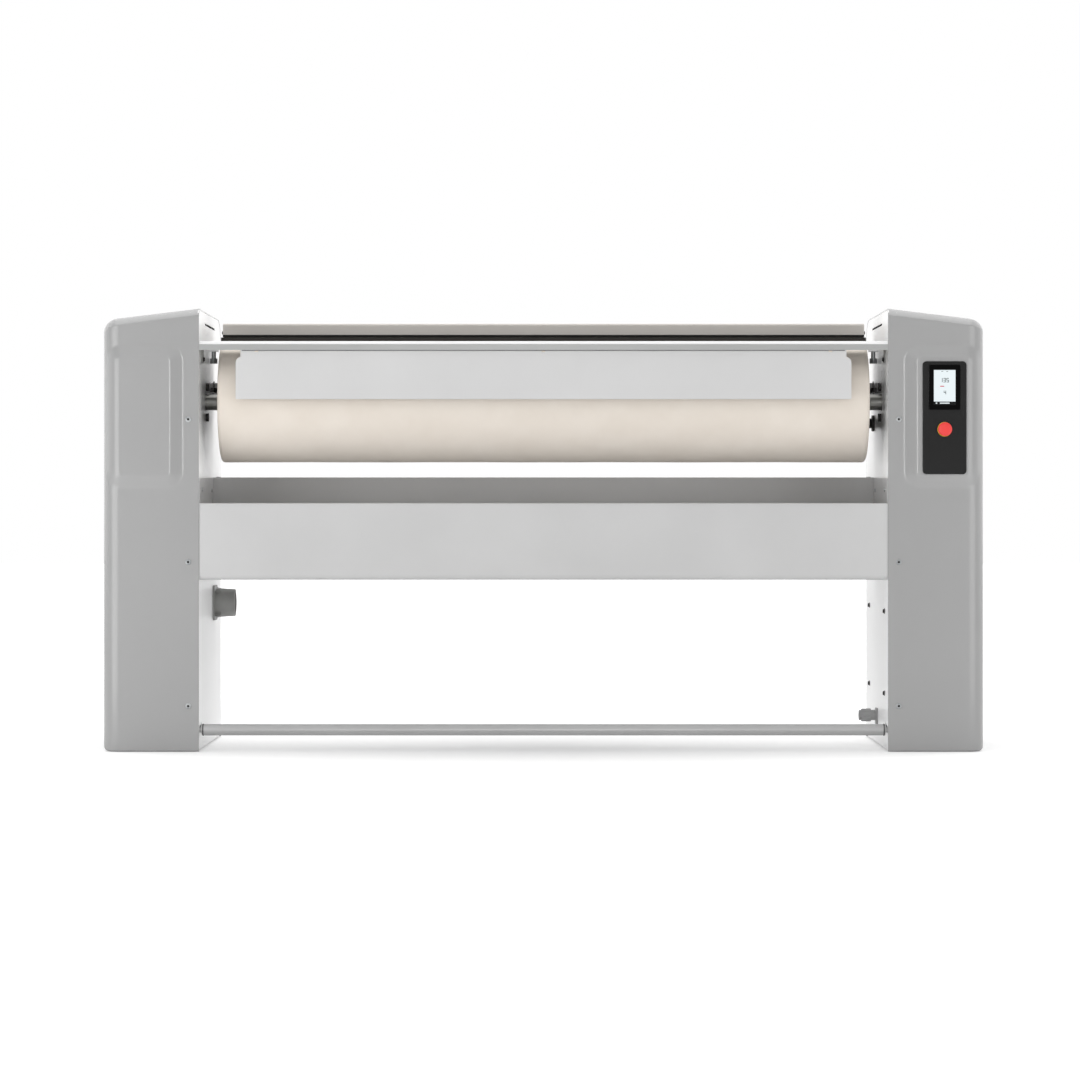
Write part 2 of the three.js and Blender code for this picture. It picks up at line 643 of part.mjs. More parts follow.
/** The raised pad on a cover's front, which runs onto the upright outer corner. */
function padLoft(side, inset) {
  const edge = OUTER_X - COVER_EDGE_RADIUS;
  const skin = (x) => {
    const past = Math.max(0, Math.abs(x) - edge);
    const fall = COVER_EDGE_RADIUS - Math.sqrt(Math.max(0, COVER_EDGE_RADIUS ** 2 - past ** 2));
    return FACE_Y + inset + fall;
  };
  const trim = inset / 4;
  const [x0, x1] = [PAD_X0 + trim, PAD_X1 - trim];
  const [z0, z1] = [PAD_BOTTOM + trim, PAD_TOP - trim];
  const base = rectangle(x0, x1, z0, z1, PAD_OUTLINE_RADIUS, 5);
  const plateau = rectangle(x0 + PAD_BAND, x1 - PAD_BAND, z0 + PAD_BAND, z1 - PAD_BAND,
    PAD_PLATEAU_RADIUS, 5);
  return loft([
    plateau.map(([x, z]) => [side * x, PAD_FACE + inset, z]),
    base.map(([x, z]) => [side * x, skin(x), z]),
    base.map(([x, z]) => [side * x, skin(x) + PAD_RISE, z]),
  ]);
}

function coverShell(side) {
  const outside = join(coverBlock(side, 0), padLoft(side, 0));
  const hollow = join(coverBlock(side, COVER_WALL), padLoft(side, COVER_WALL));
  const underside = block(side * (PANEL_X - 1), side * (OUTER_X - COVER_LIP),
    FACE_Y + COVER_WALL, REAR_Y - COVER_WALL, 0, FLOOR_GAP + 2 * COVER_WALL);
  const [x0, x1, z0, z1] = rearWindow();
  const window = block(side * x0, side * x1, REAR_Y - 2 * COVER_WALL, REAR_Y + 1, z0, z1);
  return cut(outside, hollow, underside, window);
}

/** The rear opening of a cover, which the rear panel closes from inside. */
function rearWindow() {
  return [
    PANEL_X + FRAME_FLANGE + SEAT_GAP + REAR_WINDOW_MARGIN,
    OUTER_X - COVER_EDGE_RADIUS - REAR_WINDOW_MARGIN,
    REAR_WINDOW_BOTTOM,
    ROLLER_Z - REAR_WINDOW_BELOW_AXIS,
  ];
}

function rearPanel(side) {
  const [x0, x1, z0, z1] = rearWindow();
  const lap = REAR_WINDOW_MARGIN;
  const back = REAR_Y - COVER_WALL - SEAT_GAP;
  const outline = rectangle(side * (x0 - lap), side * (x1 + lap), z0 - lap, z1 + lap, 4, 2);
  const vents = Array.from({ length: VENT_COUNT }, (_, i) => {
    const z = z1 - 2 * VENT_PITCH - i * VENT_PITCH;
    return rectangle(side * (x0 + VENT_PITCH), side * (x1 - VENT_PITCH), z - VENT_HEIGHT, z);
  });
  return prism('y', outline, back - REAR_SHEET, back, vents);
}

/** Cuts the display's and the stop button's openings into the right cover. */
function controlOpenings(cover) {
  const window = block(PLATE_X - SCREEN_WIDTH / 2, PLATE_X + SCREEN_WIDTH / 2, PAD_FACE - 1,
    PAD_FACE + 2 * COVER_WALL, BEZEL_Z - SCREEN_HEIGHT / 2, BEZEL_Z + SCREEN_HEIGHT / 2);
  const neck = STOP_STEM_RADIUS + RUN_GAP + STOP_NECK_WALL;
  const hole = bore('y', neck, SEAT_GAP, PAD_FACE - 1, PAD_FACE + 2 * COVER_WALL, [PLATE_X, STOP_Z]);
  return cut(cover, window, hole);
}

addPart('left_cover', coverShell(LEFT), FINISH.cover);
addPart('right_cover', controlOpenings(coverShell(RIGHT)), FINISH.cover);
addPart('left_rear_panel', rearPanel(LEFT), FINISH.greySheet);
addPart('right_rear_panel', rearPanel(RIGHT), FINISH.greySheet);

// ---------------------------------------------------------------- side frames
/** Where the stub of the chest's hanger stands when the chest is fully open. */
function openStub() {
  const [y, z] = [STUB_Y - PIVOT_Y, STUB_Z - PIVOT_Z];
  const angle = OPEN_ANGLE * DEGREE;
  return [
    PIVOT_Y + y * Math.cos(angle) + z * Math.sin(angle),
    PIVOT_Z - y * Math.sin(angle) + z * Math.cos(angle),
  ];
}

function frameOutline(inset) {
  return rounded([
    [FRAME_FRONT + inset, FRAME_BOTTOM + inset, FRAME_CORNER],
    [FRAME_REAR - inset, FRAME_BOTTOM + inset, FRAME_CORNER],
    [FRAME_REAR - inset, FRAME_TOP - inset, COVER_NAPE_RADIUS - COVER_WALL - inset],
    [FRAME_FRONT + inset, FRAME_TOP - inset, COVER_BROW_RADIUS - COVER_WALL - inset],
  ], PROFILE_STEPS);
}

/** Outline of the slot in which the pedal bar's pin swings. */
function pedalSlot() {
  const radius = PEDAL_PIN_RADIUS + PEDAL_SLOT_GAP;
  const swing = -90 + PEDAL_SWING;
  const [endY, endZ] = arc(PEDAL_Y, PEDAL_PIVOT_Z, PEDAL_PIVOT_RISE, swing, swing, 1)[0];
  return [
    ...arc(PEDAL_Y, PEDAL_PIVOT_Z, PEDAL_PIVOT_RISE + radius, -90, swing, 3).slice(0, -1),
    ...arc(endY, endZ, radius, swing, swing + 180, 4),
    ...arc(PEDAL_Y, PEDAL_PIVOT_Z, PEDAL_PIVOT_RISE - radius, swing, -90, 3).slice(1, -1),
    ...arc(PEDAL_Y, PEDAL_HEIGHT, radius, 90, 270, 4).slice(0, -1),
  ];
}

function sideFrame(side) {
  const through = [side * (PANEL_X - 1), side * (PANEL_X + FRAME_FLANGE)];
  const pan = prism('x', frameOutline(0), side * PANEL_X, side * (PANEL_X + FRAME_FLANGE));
  const dish = prism('x', frameOutline(FRAME_SHEET), side * BEHIND_FRAME, side * (OUTER_X));
  const collar = rod('x', TORSION_RADIUS + 9, side * (BEHIND_FRAME - 1),
    side * (ARM_INNER - RUN_GAP), [PIVOT_Y, PIVOT_Z], 20);
  const pedalPivot = rod('x', PEDAL_PIVOT_RADIUS, side * (BEHIND_FRAME - 1),
    side * (BEHIND_FRAME + PEDAL_ARM_FROM_FRAME + PEDAL_ARM_THICK + 12),
    [PEDAL_Y, PEDAL_PIVOT_Z], 16);
  const bracket = block(side * (PANEL_X + 1), side * (PANEL_X - 22),
    ROLLER_Y + STOP_BOLT_BEHIND_AXIS - 14, ROLLER_Y + STOP_BOLT_BEHIND_AXIS + 14,
    stopBracketZ(), stopBracketZ() + STOP_BRACKET_THICK);
  const airSlot = rectangle(ROLLER_Y - 24, ROLLER_Y + 246, TOP_Z - 34, TOP_Z - 29, 2, 2);
  const tools = [
    prism('x', airSlot, ...through),
    prism('x', link([STUB_Y, STUB_Z], STUB_RADIUS + SLOT_GAP, openStub(), STUB_RADIUS + SLOT_GAP),
      ...through),
    prism('x', pedalSlot(), ...through),
    bore('x', JOURNAL_RADIUS, 3, ...through, [ROLLER_Y, ROLLER_Z]),
    bore('x', TORSION_RADIUS, RUN_GAP, side * (PANEL_X - 1), side * OUTER_X, [PIVOT_Y, PIVOT_Z]),
    bore('z', STOP_BOLT_RADIUS, SEAT_GAP, stopBracketZ() - 1, stopBracketZ() + 9,
      [side * (PANEL_X - 10.5), ROLLER_Y + STOP_BOLT_BEHIND_AXIS], 12),
  ];
  [-BOLT_SPREAD, BOLT_SPREAD].forEach((shift) => {
    tools.push(bore('x', BOLT_RADIUS, SEAT_GAP, ...through, [ROLLER_Y, ROLLER_Z + shift], 12));
  });
  if (side === LEFT) {
    tools.push(bore('x', HOSE_BORE - SEAT_GAP, SEAT_GAP, ...through, [spigotY(), SPIGOT_HEIGHT]));
  } else {
    tools.push(bore('x', GLAND_NECK_RADIUS, SEAT_GAP, ...through, [glandY(), GLAND_HEIGHT]));
    tools.push(bore('x', CONDUIT_RADIUS, SEAT_GAP, ...through, [conduitY(), conduitZ()]));
  }
  return cut(join(cut(pan, dish), collar, pedalPivot, bracket), ...tools);
}

const spigotY = () => FACE_Y + SPIGOT_FROM_FACE;
const glandY = () => FACE_Y + GLAND_FROM_FACE;
const conduitY = () => FACE_Y + CONDUIT_FROM_FACE;
const conduitZ = () => ROLLER_Z - CONDUIT_BELOW_AXIS;
const stopBracketZ = () => ROLLER_Z + STOP_BOLT_ABOVE_AXIS + STOP_BOLT_HEAD + 17;

addPart('left_side_frame', sideFrame(LEFT), FINISH.whiteSheet);
addPart('right_side_frame', sideFrame(RIGHT), FINISH.whiteSheet);

// ---------------------------------------------------------------- bases, feet and rear beam
const footX = () => OUTER_X - FOOT_FROM_SIDE;
const footPlaces = () => [FACE_Y + FOOT_FROM_FACE, REAR_Y - FOOT_FROM_FACE];

function basePlate(side) {
  const outline = rectangle(side * (BEHIND_FRAME + SEAT_GAP), side * (OUTER_X - COVER_LIP - 2),
    FRAME_FRONT + FRAME_SHEET + FRAME_CORNER, FRAME_REAR - FRAME_SHEET - FRAME_CORNER, 3, 2);
  const holes = footPlaces().map((y) => bore('z', STUD_RADIUS, SEAT_GAP, BASE_Z - 1,
    BASE_Z + BASE_SHEET + 1, [side * footX(), y], 10));
  return cut(prism('z', outline, BASE_Z, BASE_Z + BASE_SHEET), ...holes);
}

/** A levelling foot with its stud and lock nut. */
function foot(side, y) {
  const top = BASE_Z - SEAT_GAP;
  const pad = turned('z', [[0, 0], [0, FOOT_RADIUS], [top - 3, FOOT_RADIUS - 3],
    [top, STUD_RADIUS + 6], [top, STUD_RADIUS], [top + STUD_LENGTH, STUD_RADIUS],
    [top + STUD_LENGTH, 0]], [side * footX(), y], 8);
  const nutZ = BASE_Z + BASE_SHEET + SEAT_GAP;
  const nut = rod('z', NUT_ACROSS_CORNERS / 2, nutZ, nutZ + NUT_HEIGHT, [side * footX(), y], 6);
  return join(pad, nut);
}

function rearBeam() {
  const y = PIVOT_Y + BEAM_BEHIND_PIVOT;
  const half = PANEL_X - SEAT_GAP;
  const box = (size) => rectangle(y - size / 2, y + size / 2, PIVOT_Z - size / 2, PIVOT_Z + size / 2, 5, 2);
  const ends = [LEFT, RIGHT].map((side) => prism('x', box(BEAM_FLANGE), side * half,
    side * (half - BEAM_FLANGE_THICK)));
  const hollow = prism('x', box(BEAM_SIZE - 2 * BEAM_WALL), -half - 1, half + 1);
  return cut(join(prism('x', box(BEAM_SIZE), -half, half), ...ends), hollow);
}

[LEFT, RIGHT].forEach((side) => {
  addPart(`${sideName(side)}_base_plate`, basePlate(side), FINISH.zinc);
  const [front, rear] = footPlaces();
  addPart(`front_${sideName(side)}_foot`, foot(side, front), FINISH.rubber);
  addPart(`rear_${sideName(side)}_foot`, foot(side, rear), FINISH.rubber);
});
addPart('rear_beam', rearBeam(), FINISH.darkSteel);

// ---------------------------------------------------------------- roller
function rollerPadding() {
  const [half, inner] = [ROLLER_LENGTH / 2, ROLLER_RADIUS - PADDING_THICK];
  const edge = (end) => arc(end * (half - PADDING_EDGE), ROLLER_RADIUS - PADDING_EDGE, PADDING_EDGE,
    end > 0 ? 0 : 90, end > 0 ? 90 : 180, 2);
  const profile = [[-half, inner], ...edge(LEFT).reverse(), ...edge(RIGHT).reverse(), [half, inner],
    [-half, inner]];
  return turned('x', profile, [ROLLER_Y, ROLLER_Z], 36);
}

function rollerDrum() {
  const half = ROLLER_LENGTH / 2 - DRUM_SETBACK;
  const outer = ROLLER_RADIUS - PADDING_THICK - SEAT_GAP;
  const profile = [[-half, outer - DRUM_WALL], [-half, outer], [half, outer],
    [half, outer - DRUM_WALL], [-half, outer - DRUM_WALL]];
  return turned('x', profile, [ROLLER_Y, ROLLER_Z], 36);
}

/** The end plate of the drum with its welded hollow journal. */
function rollerEnd(side) {
  const plateOuter = ROLLER_LENGTH / 2 - DRUM_SETBACK;
  const plateInner = plateOuter - END_PLATE_THICK;
  const rim = ROLLER_RADIUS - PADDING_THICK - DRUM_WALL - 3 * SEAT_GAP;
  const flangeEnd = plateOuter + JOURNAL_FLANGE_THICK;
  const tip = PANEL_X + JOURNAL_REACH;
  const profile = [[plateInner, JOURNAL_BORE], [plateInner, rim], [plateOuter, rim],
    [plateOuter, JOURNAL_FLANGE_RADIUS], [flangeEnd, JOURNAL_FLANGE_RADIUS - 2],
    [flangeEnd, JOURNAL_RADIUS], [tip, JOURNAL_RADIUS], [tip, JOURNAL_BORE],
    [plateInner, JOURNAL_BORE]];
  return turned('x', profile.map(([x, radius]) => [side * x, radius]), [ROLLER_Y, ROLLER_Z], 18);
}

addPart('roller_padding', rollerPadding(), FINISH.padding);
addPart('roller_drum', rollerDrum(), FINISH.zinc);
addPart('left_roller_end', rollerEnd(LEFT), FINISH.steel);
addPart('right_roller_end', rollerEnd(RIGHT), FINISH.steel);

/** Flanged bearing inside a cabinet with its two through bolts, whose heads show outside. */
function rollerBearing(side) {
  const seat = BEHIND_FRAME + SEAT_GAP;
  const centre = [ROLLER_Y, ROLLER_Z];
  const [upper, lower] = [BOLT_SPREAD, -BOLT_SPREAD].map((shift) => [ROLLER_Y, ROLLER_Z + shift]);
  const flange = prism('x', link(upper, BEARING_LUG_RADIUS, lower, BEARING_LUG_RADIUS), side * seat,
    side * (seat + BEARING_FLANGE));
  const hub = rod('x', BEARING_RADIUS, side * seat, side * (seat + BEARING_DEPTH), centre, 14);
  const bolts = [-BOLT_SPREAD, BOLT_SPREAD].map((shift) => {
    const place = [ROLLER_Y, ROLLER_Z + shift];
    const headX = PANEL_X - SEAT_GAP;
    const head = rod('x', BOLT_HEAD_RADIUS, side * headX, side * (headX - BOLT_HEAD_HEIGHT), place, 12);
    const shank = rod('x', BOLT_RADIUS, side * (headX - 1), side * (seat + BEARING_FLANGE + 14), place, 8);
    const nutX = seat + BEARING_FLANGE;
    const nut = rod('x', BOLT_HEAD_RADIUS - 2, side * (nutX - 1), side * (nutX + 8), place, 6);
    return join(head, shank, nut);
  });
  const journal = bore('x', JOURNAL_RADIUS, RUN_GAP, side * (seat - 1), side * (seat + BEARING_DEPTH + 1),
    centre, 20);
  return cut(join(hub, flange, ...bolts), journal);
}

addPart('left_bearing', rollerBearing(LEFT), FINISH.darkSteel);
addPart('right_bearing', rollerBearing(RIGHT), FINISH.darkSteel);

// ---------------------------------------------------------------- chain drive
const pitchRadius = (teeth) => CHAIN_PITCH / (2 * Math.sin(Math.PI / teeth));

/** Distance between the shafts that lets a whole number of pitches span each strand. */
function shaftDistance() {
  const driven = [DRIVEN_WRAP * (Math.PI / DRIVEN_TEETH), pitchRadius(DRIVEN_TEETH)];
  const drive = [DRIVE_WRAP * (Math.PI / DRIVE_TEETH), pitchRadius(DRIVE_TEETH)];
  const rise = driven[1] * Math.sin(driven[0]) - drive[1] * Math.sin(drive[0]);
  const span = Math.sqrt((STRAND_PITCHES * CHAIN_PITCH) ** 2 - rise ** 2);
  return span - driven[1] * Math.cos(driven[0]) - drive[1] * Math.cos(drive[0]);
}

const driveZ = () => ROLLER_Z - shaftDistance();

/** Toothed outline; a tooth gap lies at every whole pitch from the starting angle. */
function sprocketOutline(teeth, centreZ, startAngle) {
  const radius = pitchRadius(teeth);
  const seat = CHAIN_ROLLER_RADIUS + 0.5;
  const tipHalf = CHAIN_PITCH / 2 - seat - FLANK_RELIEF;
  const points = [];
  for (let k = 0; k < teeth; k += 1) {
    const angle = startAngle * DEGREE + (2 * Math.PI * k) / teeth;
    const [ahead, up] = [[-Math.sin(angle), Math.cos(angle)], [Math.cos(angle), Math.sin(angle)]];
    const put = (along, out) => points.push([
      ROLLER_Y + ahead[0] * along + up[0] * (radius + out),
      centreZ + ahead[1] * along + up[1] * (radius + out),
    ]);
    const tip = CHAIN_PITCH / 2 - tipHalf;
    put(-tip, TOOTH_HEIGHT);
    [-60, -20, 20, 60].forEach((swing) => {
      put(seat * Math.sin(swing * DEGREE), -seat * Math.cos(swing * DEGREE));
    });
    put(tip, TOOTH_HEIGHT);
  }
  return points;
}

function sprocket(teeth, centreZ, startAngle, hubRadius) {
  const half = SPROCKET_WIDTH / 2;
  const wheel = prism('x', sprocketOutline(teeth, centreZ, startAngle), CHAIN_X - half, CHAIN_X + half);
  const hub = rod('x', hubRadius, CHAIN_X - half - HUB_LENGTH, CHAIN_X, [ROLLER_Y, centreZ]);
  return join(wheel, hub);
}

function drivenSprocket() {
  const [inner, outer] = [CHAIN_X - 60, CHAIN_X + 60];
  const centre = [ROLLER_Y, ROLLER_Z];
  const holes = Array.from({ length: WEB_HOLES }, (_, i) => {
    const angle = (2 * Math.PI * i) / WEB_HOLES;
    const middle = (DRIVEN_HUB_RADIUS + pitchRadius(DRIVEN_TEETH)) / 2;
    return rod('x', WEB_HOLE_RADIUS, inner, outer,
      [ROLLER_Y + middle * Math.cos(angle), ROLLER_Z + middle * Math.sin(angle)], 8);
  });
  const seat = bore('x', JOURNAL_RADIUS, SEAT_GAP, inner, outer, centre, 20);
  return cut(sprocket(DRIVEN_TEETH, ROLLER_Z, 90, DRIVEN_HUB_RADIUS), seat, ...holes);
}

function driveSprocket() {
  const wheel = sprocket(DRIVE_TEETH, driveZ(), -90, DRIVE_HUB_RADIUS);
  const shaft = rod('x', DRIVE_SHAFT_RADIUS, CHAIN_X - SPROCKET_WIDTH / 2 - HUB_LENGTH - 4,
    gearboxX() + 30, [ROLLER_Y, driveZ()], 20);
  return join(wheel, shaft);
}

/** Centres of the chain's rollers, in order round both sprockets. */
function chainPlaces() {
  const places = [];
  const wrap = (teeth, centreZ, pitches, middle) => {
    const step = FULL_TURN / teeth;
    for (let k = 0; k <= pitches; k += 1) {
      const angle = (middle - (pitches / 2 - k) * step) * DEGREE;
      places.push([
        ROLLER_Y + pitchRadius(teeth) * Math.cos(angle),
        centreZ + pitchRadius(teeth) * Math.sin(angle),
      ]);
    }
  };
  const strand = (from, to) => {
    for (let k = 1; k < STRAND_PITCHES; k += 1) {
      const share = k / STRAND_PITCHES;
      places.push([from[0] + (to[0] - from[0]) * share, from[1] + (to[1] - from[1]) * share]);
    }
  };
  wrap(DRIVEN_TEETH, ROLLER_Z, DRIVEN_WRAP, 90);
  const [start, leave] = [places[0], places[places.length - 1]];
  const lower = [];
  const keep = places.splice(0);
  wrap(DRIVE_TEETH, driveZ(), DRIVE_WRAP, -90);
  lower.push(...places.splice(0));
  strand(leave, lower[0]);
  const down = places.splice(0);
  strand(lower[lower.length - 1], start);
  return [...keep, ...down, ...lower, ...places];
}

/** Roller chain: rollers in the tooth gaps, inner and outer plates by turns. */
function driveChain() {
  const places = chainPlaces();
  const inner = SPROCKET_WIDTH / 2 + 2 * SEAT_GAP;
  const links = places.map((place, i) => {
    const next = places[(i + 1) % places.length];
    const shift = i % 2 === 0 ? 0 : CHAIN_PLATE_THICK - 0.2;
    const outline = link(place, CHAIN_PLATE_RADIUS, next, CHAIN_PLATE_RADIUS, 2);
    const plates = [LEFT, RIGHT].map((side) => prism('x', outline,
      CHAIN_X + side * (inner + shift), CHAIN_X + side * (inner + shift + CHAIN_PLATE_THICK)));
    const reach = inner + 0.5;
    const roller = rod('x', CHAIN_ROLLER_RADIUS, CHAIN_X - reach, CHAIN_X + reach, place, 6);
    return join(...plates, roller);
  });
  return join(...links);
}

const gearboxX = () => CHAIN_X + 28;

/** Plate that carries the gearmotor off the side frame on four spacers. */
function motorBracket() {
  const plateX = gearboxX() - SEAT_GAP - BRACKET_THICK;
  const [y, z] = [ROLLER_Y, driveZ()];
  const [front, rear, half] = [y - BRACKET_HALF, y + BRACKET_HALF, BRACKET_HALF];
  const step = y + GEARBOX_HALF + 6; // the plate stops short of the motor below this step
  const outline = rounded([[front, z - half, 10], [step, z - half, 10], [step, z + 38],
    [rear, z + 38, 10], [rear, z + half, 10], [front, z + half, 10]], 2);
  const plate = prism('x', outline, plateX, plateX + BRACKET_THICK);
  const inset = SPACER_RADIUS + 2;
  const corners = [[front + inset, z - half + inset], [step - inset, z - half + inset],
    [rear - inset, z + half - inset], [front + inset, z + half - inset]];
  const spacers = corners.map((place) => rod('x', SPACER_RADIUS, BEHIND_FRAME + SEAT_GAP,
    plateX + 1, place, 10));
  return cut(join(plate, ...spacers), rod('x', DRIVE_SHAFT_RADIUS + 8, plateX - 1, plateX + 10, [y, z], 20));
}

/** Worm gearbox: a square-shouldered case with ribs, and the worm's barrel under it. */
function gearbox() {
  const x0 = gearboxX();
  const x1 = x0 + GEARBOX_DEPTH;
  const [y, z] = [ROLLER_Y, driveZ()];
  const half = GEARBOX_HALF;
  const outline = rectangle(y - half, y + half, z - half, z + half, 22, 3);
  const body = prism('x', outline, x0, x1 - 12);
  const cap = rod('x', half - 12, x0 + 20, x1, [y, z], 16);
  const barrelX = (x0 + x1) / 2;
  const barrel = rod('y', WORM_RADIUS, y - half - 8, y + half + 12, [barrelX, z - WORM_DROP], 12);
  const ribs = [-24, 0, 24].map((shift) => block(x0 + 6, x1 - 6, y + shift - 2, y + shift + 2,
    z - half - 6, z + half + 6));
  const shaft = bore('x', DRIVE_SHAFT_RADIUS, RUN_GAP, x0 - 1, x0 + 30 + RUN_GAP, [y, z], 20);
  return cut(join(body, cap, barrel, ...ribs), shaft);
}

function driveMotor() {
  const x = gearboxX() + GEARBOX_DEPTH / 2;
  const z = driveZ() - WORM_DROP;
  const start = ROLLER_Y + GEARBOX_HALF + 12 + SEAT_GAP;
  const profileY = [start, start + 10, start + MOTOR_LENGTH - 30, start + MOTOR_LENGTH];
  const flange = rod('y', WORM_RADIUS + 6, profileY[0], profileY[1] + 1, [x, z]);
  const stator = rod('y', MOTOR_RADIUS - 7, profileY[1], profileY[2], [x, z]);
  const cowl = rod('y', MOTOR_RADIUS - 2, profileY[2] - 1, profileY[3], [x, z]);
  const fins = Array.from({ length: MOTOR_FINS }, (_, i) => {
    const fin = new THREE.BoxGeometry(2.4, profileY[2] - profileY[1] - 8, 2 * MOTOR_RADIUS - 2);
    fin.rotateY((i * Math.PI) / MOTOR_FINS);
    fin.translate(x, (profileY[1] + profileY[2]) / 2, z);
    return solid(fin);
  });
  const half = TERMINAL_BOX / 2;
  const terminals = block(x - half, x + half, start + TERMINAL_BOX, start + 2 * TERMINAL_BOX,
    z + MOTOR_RADIUS - TERMINAL_RISE / 2, z + MOTOR_RADIUS + TERMINAL_RISE);
  return join(flange, stator, cowl, ...fins, terminals);
}

addPart('driven_sprocket', drivenSprocket(), FINISH.steel);
addPart('drive_sprocket', driveSprocket(), FINISH.steel);
addPart('drive_chain', driveChain(), FINISH.darkSteel);
addPart('motor_bracket', motorBracket(), FINISH.zinc);
addPart('gearbox', gearbox(), FINISH.aluminium);
addPart('drive_motor', driveMotor(), FINISH.darkSteel);

// ---------------------------------------------------------------- feed table and finger guard
const guardTop = () => ROLLER_Z - GUARD_BELOW_AXIS + GUARD_HEIGHT;
const hingeY = () => FACE_Y + GUARD_FROM_FACE + GUARD_SHEET / 2 + HINGE_ROD_RADIUS + 1;
const hingeZ = () => TABLE_TOP - TABLE_SHEET - HINGE_ROD_RADIUS - HINGE_CURL_WALL - 8;
const curlOuter = () => boreFor(HINGE_ROD_RADIUS, RUN_GAP, 8) + HINGE_CURL_WALL;
const lugPlaces = () => [LEFT, 0, RIGHT].map((share) => share * (GUARD_NECK - HINGE_LUG_INSET));

function feedTable() {
  const half = PANEL_X - SEAT_GAP;
  const mid = TABLE_TOP - TABLE_SHEET / 2;
  const lipBottom = mid - TABLE_REAR_LIP;
  const rise = lipBottom - ROLLER_Z;
  const rearY = ROLLER_Y - Math.sqrt((ROLLER_RADIUS + TABLE_ROLLER_GAP + TABLE_SHEET) ** 2 - rise ** 2);
  const front = FACE_Y + TABLE_SHEET / 2;
  const path = rounded([
    [front, TABLE_TOP - TABLE_LIP],
    [front, mid, TABLE_NOSE_RADIUS],
    [rearY, mid, 2],
    [rearY, lipBottom],
  ], 3, false);
  const top = prism('x', sheet(path, TABLE_SHEET), -half, half);
  const ends = [LEFT, RIGHT].map((side) => {
    const cheek = rounded([[front + 8, mid], [front + 8, mid - 20, 4],
      [ROLLER_Y - 118, mid - TABLE_END_DROP, 6], [rearY - 2, mid - TABLE_END_DROP, 6], [rearY - 2, mid]], 2);
    return prism('x', cheek, side * half, side * (half - TABLE_END_PLATE));
  });
  const lugs = lugPlaces().map((x) => {
    const eye = link([hingeY(), hingeZ()], HINGE_ROD_RADIUS + 3,
      [hingeY() + HINGE_LUG_ROOT, mid - HINGE_LUG_ROOT], HINGE_LUG_ROOT, 3);
    return prism('x', eye, x - HINGE_LUG_WIDTH / 2, x + HINGE_LUG_WIDTH / 2);
  });
  const rodHole = bore('x', HINGE_ROD_RADIUS, SEAT_GAP, -GUARD_NECK - 1, GUARD_NECK + 1,
    [hingeY(), hingeZ()], 8);
  return join(top, ...ends, ...lugs.map((lug) => cut(lug, rodHole)));
}

function guardPlate() {
  const y0 = FACE_Y + GUARD_FROM_FACE - GUARD_SHEET / 2;
  const y1 = y0 + GUARD_SHEET;
  const [bottom, top] = [guardTop() - GUARD_HEIGHT, guardTop()];
  const plate = prism('y', rounded([
    [-GUARD_HALF_WIDTH, bottom, 1], [GUARD_HALF_WIDTH, bottom, 1],
    [GUARD_HALF_WIDTH, top, GUARD_CORNER], [-GUARD_HALF_WIDTH, top, GUARD_CORNER],
  ], 4), y0, y1);
  const neck = block(-GUARD_NECK, GUARD_NECK, y0, y1, top - 1, hingeZ());
  const curl = rod('x', curlOuter(), -GUARD_NECK, GUARD_NECK,
    [hingeY(), hingeZ()], 10);
  const hem = block(-GUARD_HALF_WIDTH + 6, GUARD_HALF_WIDTH - 6, y1 - 0.5, y1 + 8,
    bottom, bottom + GUARD_SHEET);
  const hole = bore('x', HINGE_ROD_RADIUS, RUN_GAP, -GUARD_NECK - 1, GUARD_NECK + 1,
    [hingeY(), hingeZ()], 8);
  const notches = lugPlaces().map((x) => block(x - HINGE_LUG_WIDTH / 2 - 2, x + HINGE_LUG_WIDTH / 2 + 2,
    y0 - 1, hingeY() + 12, hingeZ() - 12, hingeZ() + 12));
  return cut(join(plate, neck, curl, hem), hole, ...notches);
}

addPart('feed_table', feedTable(), FINISH.greySheet);
addPart('guard_plate', guardPlate(), FINISH.guard);
addPart('guard_hinge_rod', rod('x', HINGE_ROD_RADIUS, -GUARD_NECK - 3,
  GUARD_NECK + 3, [hingeY(), hingeZ()], 8), FINISH.zinc);

// ---------------------------------------------------------------- linen tray
function linenTray() {
  const half = PANEL_X - SEAT_GAP;
  const front = FACE_Y + TRAY_FROM_FACE + TRAY_SHEET / 2;
  const rear = PIVOT_Y - TRAY_BEFORE_PIVOT;
  const path = rounded([
    [front + TRAY_HEM, TRAY_FRONT_TOP],
    [front, TRAY_FRONT_TOP, 3],
    [front, TRAY_FLOOR, TRAY_BEND_RADIUS],
    [rear, TRAY_FLOOR, TRAY_BEND_RADIUS],
    [rear, TRAY_REAR_TOP, 2],
    [rear + TRAY_HEM, TRAY_REAR_TOP],
  ], 3, false);
  const band = prism('x', sheet(path, TRAY_SHEET), -half, half);
  const ends = [LEFT, RIGHT].map((side) => {
    const wall = rounded([[front, TRAY_FLOOR, TRAY_BEND_RADIUS], [rear, TRAY_FLOOR, TRAY_BEND_RADIUS],
      [rear, TRAY_REAR_TOP, 2], [front, TRAY_REAR_TOP - 4, 6]], 3);
    return prism('x', wall, side * half, side * (half - TRAY_SHEET));
  });
  return join(band, ...ends);
}

addPart('linen_tray', linenTray(), FINISH.tray);

// ---------------------------------------------------------------- heated chest
const onRoller = (radius, angle) => [
  ROLLER_Y + radius * Math.cos(angle * DEGREE),
  ROLLER_Z + radius * Math.sin(angle * DEGREE),
];
const heaterRing = () => CHEST_OUTER + 2;

